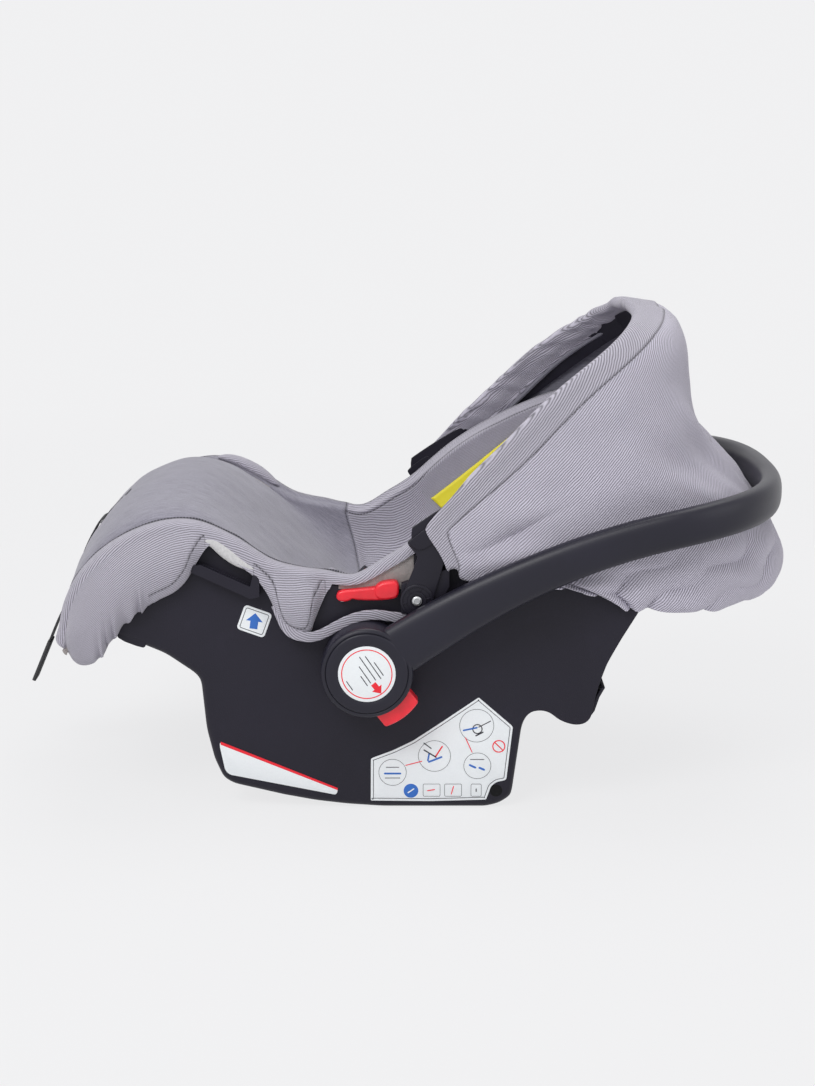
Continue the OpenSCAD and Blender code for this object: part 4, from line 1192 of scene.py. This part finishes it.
class CARRIER_OT_cover(bpy.types.Operator):
    """The sewn cover: seat panels inside, a soft roll over the rim, and side lobes that hang outside"""
    bl_idname = "carrier.cover"
    bl_label = "Cover"

    def execute(self, context):
        b = Bucket(16)
        x, rim_z = b.rim.T
        hem = smooth(HEM, 4)
        hem_z = np.interp(x, hem[:, 0], hem[:, 1])
        drop = np.where(x < LOBE_END, rim_z - hem_z, TIGHT)
        drop = np.where(x > 18, TIGHT + 25 * ease((x - 20) / 60), drop)
        start = self.tail(-b.along[0], b.above[0], 11, 7, 95)
        end = self.tail(b.along[-1], b.above[-1], 2, 9, 150)
        outer, mark, uv = self.outside(b, np.maximum(drop, TIGHT), np.abs(np.gradient(hem_z, x)))
        inner = self.lining(b)
        shape = Shape()
        for side in (-1, 1):
            self.add(shape, outer * (1, -side, 1), start, end, side < 0, 0, mark, uv, lobes=True)
        self.add(shape, inner, start, end, True, *self.panels(b, inner))
        cloths = ["twill", "seat melange", "seat twill", "backing"]
        cover = shape.build("seat_cover_sewn", cloths, stands_for=["seat_cover"], slot="cover_cloth",
                            thick=2.2, lining=3)
        self.trims(b)
        return {"FINISHED"}

    def tail(self, along, above, straight, r, turn):
        """Steps in X and Z that carry the last row straight on and then round under the lip."""
        a = np.radians(np.linspace(0, turn, 12))[:, None]
        curl = along * straight + r * (along * np.sin(a) - above * (1 - np.cos(a)))
        lead = along * np.linspace(0, straight, 5)[1:-1, None]
        return np.vstack([lead, curl])

    def add(self, shape, p, start, end, flip, zone, mark, uv, lobes=False):
        """Adds the grid with its first and last rows carried on under the lips, less so at a lobe's hem."""
        share = np.ones((p.shape[1], 1))
        if lobes:
            share[:LOBE_ROWS, 0] = np.linspace(0.1, 1, LOBE_ROWS)
        before, after = (p[k] + at_y(steps, 0)[:, None] * share for k, steps in ((0, start[::-1]), (-1, end)))
        lead, tail = (run_length(np.vstack([[[0, 0]], steps]))[1:, None, None] for steps in (start, end))
        uv = np.concatenate([uv[:1] - lead[::-1] * (1, 0), uv, uv[-1:] + tail * (1, 0)])
        rows = (len(start), len(end))
        mark = np.pad(mark, (rows, (0, 0), (0, 0)), constant_values=NO_SEAM)
        zone = np.pad(np.broadcast_to(zone, p.shape[:2]), (rows, (0, 0)), mode="edge")
        shape.grid(np.concatenate([before, p, after]), flip=flip, uv=uv, mark=mark, zone=zone)

    def panels(self, b, inner):
        """The inside's cloths, seams and cloth map: one seam crosses the seat under the knees, and from there
        one runs along each wing. A seam's distance changes sign where it is crossed."""
        arc, across = run_length(inner[:, inner.shape[1] // 2])[:, None], run_length(inner, 1)
        past = arc - arc[b.station(KNEE_SEAM)]
        edge = np.minimum(across, across[:, -1:] - across)
        wing = np.where(past > 0, WING_SEAM - edge, NO_SEAM)
        lengthwise = np.where(np.abs(wing) < edge, wing, edge)
        knee = np.abs(past) * np.where((past > 0) & (edge > WING_SEAM), -1, 1)
        arc, past = (np.broadcast_to(v, edge.shape) for v in (arc, past))
        mark = np.where((np.abs(knee) < np.abs(lengthwise))[..., None], np.stack([knee, across], -1),
                        np.stack([lengthwise, arc], -1))
        return np.where(past > 0, 2, 1), mark, np.stack([arc, across], -1)

    def roll(self, b, a, high=9.0):
        """The rim's padded roll at angle a from the outer side over the top: a half ellipse whose top stands
        off the rim along the rim's own normal."""
        out, inn = b.edge + size.hem_t, b.half - size.pad_t
        mid, wide = (out + inn) / 2, (out - inn) / 2
        normal = slopes(b.rim)[:, ::-1] * (-1, 1)
        rise = (high - 2.0 * bell(b.rim[:, :1], -66, 22)) * np.sin(a)[None] ** 0.8
        y = -(mid[:, None] + wide[:, None] * power(np.cos(a), 0.8))
        return at_y(b.rim[:, None] + normal[:, None] * rise[..., None], y)

    def outside(self, b, drop, slope):
        """The near outside, from the hem up to the roll's top: hangs straight from the rim, belly out in the
        middle and drawn in at the elastic hem. Also its seams and cloth map, which follow the rim."""
        w = np.linspace(0, 1, LOBE_ROWS) ** 1.15
        x = b.rim[:, :1]
        above_hem = drop[:, None] * w
        z = b.rim[:, 1:] - drop[:, None] * (1 - w)
        long = ease((drop[:, None] - 8) / 40)
        free = ease((-88 - x) / 14)
        belly = (6.0 + 3.0 * ease((-205 - x) / 30)) * np.sin(np.pi * w) ** 1.1 * long
        tuck = 5.0 * long * np.exp(-above_hem / 6)
        gather = ease((x + 318) / 10) * ease((-252 - x) / 16) * np.exp(-above_hem / 15)
        wave = 4.6 * np.sin(x / 1.6 + 2.2 * np.sin(x / 6)) * gather
        soft = 0.9 * ripple(x / 26, z / 22, 11) * long * np.sin(np.pi * w)
        out = (b.edge + size.hem_t)[:, None] + free * (belly - tuck + wave + soft)
        z = z + 2.0 * np.sin(x / 2.1) * gather
        lobe = np.stack(np.broadcast_arrays(x, -out, z), -1)
        p = np.concatenate([lobe, self.roll(b, np.radians(np.linspace(0, 90, 9))[1:])], 1)
        along, up = run_length(b.rim)[:, None], run_length(p, 1)
        hem = above_hem / np.sqrt(1 + slope[:, None] ** 2) - HEM_SEAM
        hem = np.where((long > 0.05) & (x > SEAM_START), hem, NO_SEAM)
        hem = np.stack(np.broadcast_arrays(hem, along), -1)
        hem = np.pad(hem, ((0, 0), (0, p.shape[1] - LOBE_ROWS), (0, 0)), constant_values=NO_SEAM)
        top = np.stack(np.broadcast_arrays(up[:, -1:] - up, along), -1)
        mark = np.where(top[..., :1] < np.abs(hem[..., :1]), top, hem)
        return p, mark, top[..., ::-1] * (1, -1)

    def lining(self, b):
        """The inside from one roll's top down over the seat and up to the other's, with soft filling."""
        a = np.radians(np.linspace(90, 180, 13))[:-1]
        roll = self.roll(b, a, 9.0 - 3.4 * ease((a - math.pi / 2) / 0.35)[None])
        p = both_halves(np.concatenate([roll, b.inside(-even_turns(30), size.pad_t)], 1))
        u, v = run_length(p, 0), run_length(p, 1)
        v = v - v[:, -1:] / 2
        fill = 1.6 * ripple(u / 55, v / 48, 7) + 0.5 * ripple(u / 15, v / 18, 9)
        keep = ease((b.half[:, None] * 1.35 - np.abs(v)) / 40)
        crease = 3.0 * bell(b.floor[:, :1], KNEE_SEAM, 9)
        return p - normals(p) * ((fill - crease) * keep)[..., None]

    def trims(self, b):
        """The elastic loop under the levers, the wadding in the gap behind the lobes and over the skirts."""
        loop, wad = smooth(LOOP, 5), smooth(WADDING, 5)
        full = np.sin(np.pi * np.linspace(0, 1, len(wad)))
        for side, name in SIDES:
            path = at_y(loop, side * table(loop[:, 0], LOOP_OUT))
            shape = ribbon(Shape(), path, 10.0, 2.6, np.broadcast_to((0, side, 0), path.shape))
            shape.build("elastic_loop_" + name, "twill", slot="cover_cloth")
            ring = swept(at_y(wad, side * (b.edge.max() - 1.5)), circle(1, 16), (0, side, 0),
                         np.stack([7.5 * full ** 0.6 + 0.5, np.full(len(wad), 5.0)], 1))
            Shape().grid(ring, flip=True).build("wadding_" + name, "padding", slot="cover_cloth")
            x = np.linspace(-80, -8, 30)
            low, top = (np.stack([x, z], 1) for z in (np.full(30, 221.0), b.rim_z(x) - 0.6))
            patch = np.vstack([low, top[::-1]])
            plate(Shape(), patch, SKIRT_FACE + 0.05, SKIRT_FACE + 0.33, 0.1, side, 0, 0.02, 2).build(
                "backing_" + name, "backing", slot="cover_cloth")
        self.fold(b)

    def fold(self, b):
        """A loose fold of the far lobe that lies on the rim at the crest: a flattened roll, fuller in the
        middle and thin at both ends."""
        x = np.linspace(-226, -158, 36)
        path = np.stack([x, 168 + 4 * np.sin((x + 226) / 20), b.rim_z(x) + 8.5], 1)
        full = np.sin(np.pi * np.linspace(0, 1, len(x))) ** 0.55
        ring = swept(path, circle(1, 28), (0, 0, 1), np.stack([12 * full + 0.4, 6.2 * full + 0.3], 1))
        seam = np.abs(np.linspace(-30, 30, 29) - 9)
        mark = np.stack(np.broadcast_arrays(seam, run_length(ring, 0)), -1)
        Shape().grid(ring, flip=True, mark=mark).build("lobe_fold_right", "twill", slot="cover_cloth")


# ---- harness ----
class CARRIER_OT_harness(bpy.types.Operator):
    """Shoulder straps, crotch strap and their pads"""
    bl_idname = "carrier.harness"
    bl_label = "Harness"

    def execute(self, context):
        b = Bucket(10)
        over = size.pad_t + 1.2
        low, slit, top = (b.station(x) for x in (-24, 24, 121))
        up = np.vstack([b.up[low:top + 1], [[0.9, 0, 0.3], [0.9, 0, -0.3]], -b.up[slit:top][::-1]])
        for side, name in SIDES:
            front = self.lifted(b, side, over)
            back = b.line(side * size.strap_gap / 2, -size.wall - 1.2)
            turn = [front[top] + (1.2, 0, -1), back[top] + (1.2, 0, 1)]
            strap = ribbon(Shape(), np.vstack([front[low:top + 1], turn, back[slit:top][::-1]]), size.strap_w,
                           size.web_t, up)
            strap.build("harness_web_" + name, "webbing", stands_for=["shoulder_strap_" + name],
                        slot="webbing")
            part = slice(b.station(52), b.station(112) + 1)
            t = np.abs(np.linspace(-1, 1, part.stop - part.start))
            wide = (size.strap_w + 22) / 2 * (0.90 + 0.10 * (1 - t ** 6))
            self.pad("shoulder_sleeve_" + name, "shoulder_pad_" + name, front[part] + b.up[part] * 4.6,
                     b.up[part], 0.5, wide, 0.6 + 4.6 * (1 - t ** 10) ** 0.35, sewn=True)
        self.crotch(b, over)
        return {"FINISHED"}

    def lifted(self, b, side, off):
        """A shoulder strap's line on the cover: it draws to the middle and stands off near the buckle."""
        x = b.floor[:, 0]
        y = side * (size.strap_gap / 2 - (size.strap_gap / 2 - size.strap_w / 2 - 3) * bell(x, -34, 90))
        return b.line(y, 0.0) + b.up * (off + 16 * bell(x, -34, 40))[:, None]

    def crotch(self, b, over):
        """The strap between the legs and the padded tongue under the buckle."""
        line = b.line(0.0, over - 0.4)
        part = slice(b.station(-108), b.station(-58))
        web = ribbon(Shape(), line[part], size.strap_w, size.web_t, b.up[part])
        web.build("crotch_web", "webbing", stands_for=["crotch_strap"], slot="webbing")
        part = slice(b.station(-113), b.station(-56))
        t = np.abs(np.linspace(-1, 1, part.stop - part.start))
        self.pad("crotch_tongue", "crotch_pad", line[part] + b.up[part] * 5.0, b.up[part], 0.55,
                 32 * (1 - t ** 3.2) ** 0.45 + 0.5, 0.4 + 4.8 * (1 - t ** 5) ** 0.5)

    def pad(self, name, node, path, up, corner, wide, thick, sewn=False):
        """A padded form along a path: a superellipse across, of a width and thickness for each place, drawn
        to a point at both ends."""
        ring = circle(1, 40)
        g = capped(swept(path, power(ring, (corner, 1)), up, np.stack([wide, thick], 1)))
        mark = None
        if sewn:
            edge = wide.max() - np.abs(ring[:, 0]) ** corner * wide.max() - 5.0
            mark = np.stack(np.broadcast_arrays(edge, run_length(g, 0)), -1)
        shape = Shape().grid(g, flip=True, mark=mark)
        shape.build(name, "pad cloth", stands_for=[node], slot="pad_cloth")


# ---- levers and labels ----
# Outlines of the lever's arm and of its grip, from its pin.
LEVER_ARM = [[0, 6.3], [5, 6.6], [32, 9.5], [44, 11], [50, 5], [49, -1.5], [38, -3.4], [14, -3.2], [9, -1.6],
             [7, -3.6], [0, -5], [-5, -3], [-6.3, 0.5], [-4.6, 4.6]]
LEVER_GRIP = [[30, 9.0], [35, 13.6], [40, 15.4], [50, 16.4], [54, 13.5], [54, 2], [50, -1.6], [36, -3.2],
              [31, 1]]


class CARRIER_OT_levers(bpy.types.Operator):
    """The red levers: a slim arm over the pin and a rounded grip block at the free end"""
    bl_idname = "carrier.levers"
    bl_label = "Levers"

    def execute(self, context):
        inner = -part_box("stroller_lever_left")[1][1] * 1000
        for side, name in SIDES:
            shape = plate(Shape(), soften(LEVER_ARM, 2) + LEVER_PIN, inner, 187.2, 2.2, side)
            plate(shape, soften(LEVER_GRIP, 2) + LEVER_PIN, inner, 189.2, 3.4, side, steps=6)
            shape.build("lever_" + name, "red plastic", "lever_" + name, ["stroller_lever_" + name],
                        "red_plastic")
        return {"FINISHED"}


# The big label's outline, its rings as (x, z, radius, line, ink), and its bars as (x, z, width, height,
# tilt, ink). Inks are 1 dark, 2 blue and 3 red, and 0 is the paper.
SHEET = [[-49.7, 51], [-27.9, 59.4], [-8.9, 68.9], [20, 88.5], [55, 113], [88.5, 83.5], [82.6, 29],
         [72.8, 26.8], [67.6, 22.3], [65.1, 14.5], [63, 8.8], [8.2, 7.2], [-50, 7.8]]
SHEET_RINGS = ((53.3, 84.4, 16.8, 0.4, 1), (12.3, 53.5, 15.9, 0.4, 1), (-28.6, 36.8, 13.6, 0.4, 1),
               (54.2, 43.5, 13.4, 0.4, 1), (75, 63.4, 6.4, 1.1, 3), (54, 81, 5.0, 1.0, 1))
SHEET_BARS = (
    (-28.6, 35.6, 17, 1.8, 0, 2), (-28.6, 31, 15, 0.7, 0, 1), (-28.6, 42, 13, 0.7, 0, 1),
    (5.5, 64, 10, 1.0, -38, 1), (8, 56, 15, 1.3, -32, 1), (13, 50, 15, 1.8, 22, 2),
    (6.5, 52.5, 9, 1.6, 80, 2), (16.5, 58, 14, 1.4, 58, 3), (-7.8, 46.1, 17, 0.9, 15, 3),
    (45.7, 64.8, 17, 0.9, -66, 3), (47, 81, 15, 1.6, 12, 2), (61, 86, 14, 0.9, 28, 1),
    (56, 76, 9, 1.3, 28, 1), (49.5, 43, 8, 2.0, -26, 2), (58.5, 40.5, 7, 2.0, -24, 2),
    (54, 50, 14, 0.7, 0, 1), (75, 63.4, 11, 1.1, -45, 3), (9, 18.5, 8, 1.0, 10, 3),
    (30, 18.5, 9, 1.0, 75, 3), (53.2, 18.5, 3.5, 1.0, 90, 1), (-10.6, 17.9, 8, 1.2, 35, 0))
STRIP_ENDS = (12, 126)  # ends of the yellow strip along the seat
STRIP_UNDER = (32, 9)   # distance of its upper edge under the rim at those ends
STRIP_WIDE = 20         # its width


class CARRIER_OT_labels(bpy.types.Operator):
    """Bare labels and plain belt marks on the skirts, and the plain strip on the far wing"""
    bl_idname = "carrier.labels"
    bl_label = "Labels"

    def execute(self, context):
        papers = ["label", "label border", "label blue", "label red"]
        for side, name in SIDES:
            self.belt_mark(Label(side, SKIRT_FACE)).build("belt_mark_" + name, papers)
            self.wedge(Label(side, SKIRT_FACE)).build("corner_label_" + name, papers)
            self.sheet(Label(side, SKIRT_FACE)).build("side_label_" + name, papers)
        self.strip()
        return {"FINISHED"}

    def belt_mark(self, label):
        """A square white label with a plain blue arrow, under the belt guide."""
        at = HUB + (-108.7, 41.2)
        label.paper(turned(rect(28, 25.5, 3.5), -20, at))
        label.line(turned(rect(23.6, 21.2, 2), -20, at), 0.6, 1)
        arrow = np.array([[0, 8.5], [8.5, 0], [4, 0], [4, -8], [-4, -8], [-4, 0], [-8.5, 0]]) * 0.95
        label.ink(turned(arrow, -8, at), 2, 0.36)
        return label

    def wedge(self, label):
        """A tapering white label with a red upper edge, low at the skirt's front corner."""
        top, tip = np.array([-22.8, 31.3]), np.array([91.7, -15.3])
        o = np.array([top, tip, [91, -22.5], [-14, -1.5], [-18, 2.4], [-22.9, 27]])
        label.paper(soften(evenly(o, 4), 1) + ROD_FRONT)
        edge = np.array([top + (1, 0.8), tip, tip - (0, 2.3), top - (-0.6, 2.2)])
        label.ink(edge + ROD_FRONT, 3, 0.35)
        return label

    def sheet(self, label):
        """The big bare label between the rods: plain rings, bars and squares for a belt's path."""
        o = soften(evenly(against_clock(np.array(SHEET)), 2.5), 2)
        label.paper(o)
        label.line(inset(o, 2.2), 0.6, 1)
        for x, z, r, w, zone in SHEET_RINGS:
            label.line(circle(r, 48)[:-1] + (x, z), w, zone)
        label.ink(circle(7.2, 40)[:-1] + (-10.6, 17.9), 2)
        for x, w in ((9.6, 17), (30.6, 17), (53.2, 10.5)):
            label.line(rect(w, 13, 1.5) + (x, 18.5), 0.4, 1)
        for x, z, w, h, tilt, zone in SHEET_BARS:
            label.ink(turned(rect(w, h, h * 0.4, 2), tilt, (x, z)), zone, 0.42, 0.3)
        return label

    def strip(self):
        """The plain yellow strip sewn flat on the far wing's inside, straight from end to end."""
        b = Bucket(10)
        x0, x1 = STRIP_ENDS
        z0, z1 = (b.rim_z(x) - under for x, under in zip(STRIP_ENDS, STRIP_UNDER))
        rows = []
        for down in np.linspace(0, STRIP_WIDE, 7):
            s = np.linspace(x0, x1, 40) + 0.69 * down
            z = table(b.rim[:, 0], [[s[0], z0 - 0.72 * down], [s[-1], z1 - 0.72 * down]])
            share = np.clip((z - b.floor[:, 1]) / np.maximum(b.rim[:, 1] - b.floor[:, 1], 1), 0, 1)
            a = np.degrees(np.arccos((1 - share) ** 1.5))
            q = b.inside(a[:, None], size.pad_t + 1.8)[:, 0]
            keep = (q[:, 0] > x0 - 20) & (q[:, 0] < x1 + 40)
            y, z = (np.interp(s, q[keep, 0], q[keep, k]) for k in (1, 2))
            rows.append(np.stack([s, y, z], 1))
        Shape().grid(np.stack(rows)).build("wing_strip", "yellow strip", thick=0.4)


# ---- moulded and metal parts that keep the frame's own shape ----
# Each row: the node, where a star stands for left and right, its finish, and the rounding of its edges.
KEPT = (
    ("front_cross_wall", "shell plastic", 0.8), ("rear_cross_wall", "shell plastic", 0.8),
    ("adapter_socket_*", "shell plastic", 0.8), ("hub_socket_*", "shell plastic", 0),
    ("belt_guide_*", "shell plastic", 0.9), ("rear_belt_hook", "shell plastic", 0.9),
    ("hood_lug_*", "shell plastic", 1.2), ("buckle_body", "shell plastic", 2.0),
    ("adjuster_housing", "shell plastic", 1.2), ("adjuster_button", "hood plastic", 0.8),
    ("hood_hoop", "hood plastic", 0), ("release_button_*", "red plastic", 1.8),
    ("buckle_button", "red plastic", 1.2), ("front_latch_rod", "steel", 0), ("rear_latch_rod", "steel", 0),
    ("hub_axle_*", "steel", 0), ("lever_pin_*", "steel", 0), ("buckle_tongue_*", "steel", 0.5),
    ("harness_yoke", "steel", 0.7), ("button_spring_*", "steel", 0))


class CARRIER_OT_moulded_parts(bpy.types.Operator):
    """Finishes and rounded edges for the parts that keep the frame's own shape"""
    bl_idname = "carrier.moulded_parts"
    bl_label = "Moulded and metal parts"

    def execute(self, context):
        for kind, name, wide in KEPT:
            for node in sorted({kind.replace("*", side) for _, side in SIDES}):
                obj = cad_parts[node]
                obj.data.materials.clear()
                obj.data.materials.append(finish(name))
                if wide:
                    self.round_edges(obj, wide / 1000)
        return {"FINISHED"}

    def round_edges(self, obj, wide):
        """Merges the loose triangles, joins flat ones and rounds the edges, as modifiers."""
        obj.modifiers.new("merge", "WELD").merge_threshold = 1e-5
        flat = obj.modifiers.new("flat", "DECIMATE")
        flat.decimate_type, flat.angle_limit = "DISSOLVE", math.radians(1)
        edge = obj.modifiers.new("edge", "BEVEL")
        edge.width, edge.segments, edge.limit_method, edge.angle_limit = wide, 3, "ANGLE", math.radians(32)
        edge.use_clamp_overlap = True
        obj.modifiers.new("even", "WEIGHTED_NORMAL").keep_sharp = True


# ---- add-on ----
STEPS = (CARRIER_OT_stage, CARRIER_OT_adjuster_strap, CARRIER_OT_shell, CARRIER_OT_skirts, CARRIER_OT_handle,
         CARRIER_OT_hubs, CARRIER_OT_moulded_parts, CARRIER_OT_hood, CARRIER_OT_hood_arms, CARRIER_OT_cover,
         CARRIER_OT_harness, CARRIER_OT_levers, CARRIER_OT_labels)


class CARRIER_PT_panel(bpy.types.Panel):
    """Lists the steps, sizes and colours"""
    bl_label = "Carrier"
    bl_idname = "CARRIER_PT_panel"
    bl_space_type = "VIEW_3D"
    bl_region_type = "UI"
    bl_category = "Carrier"

    def draw(self, context):
        for step in STEPS:
            self.layout.operator(step.bl_idname)
        for group in (context.scene.carrier_sizes, context.scene.carrier_colours):
            column = self.layout.column()
            for name in group.bl_rna.properties.keys():
                if name not in ("rna_type", "name"):
                    column.prop(group, name)


CLASSES = (CarrierSizes, CarrierColours, *STEPS, CARRIER_PT_panel)


def register():
    for c in CLASSES:
        bpy.utils.register_class(c)
    bpy.types.Scene.carrier_sizes = bpy.props.PointerProperty(type=CarrierSizes)
    bpy.types.Scene.carrier_colours = bpy.props.PointerProperty(type=CarrierColours)


def unregister():
    del bpy.types.Scene.carrier_colours
    del bpy.types.Scene.carrier_sizes
    for c in reversed(CLASSES):
        bpy.utils.unregister_class(c)


def main():
    """Registers the add-on and runs the steps in order."""
    register()
    for step in STEPS:
        group, name = step.bl_idname.split(".")
        getattr(getattr(bpy.ops, group), name)()


if __name__ == "__main__":
    main()
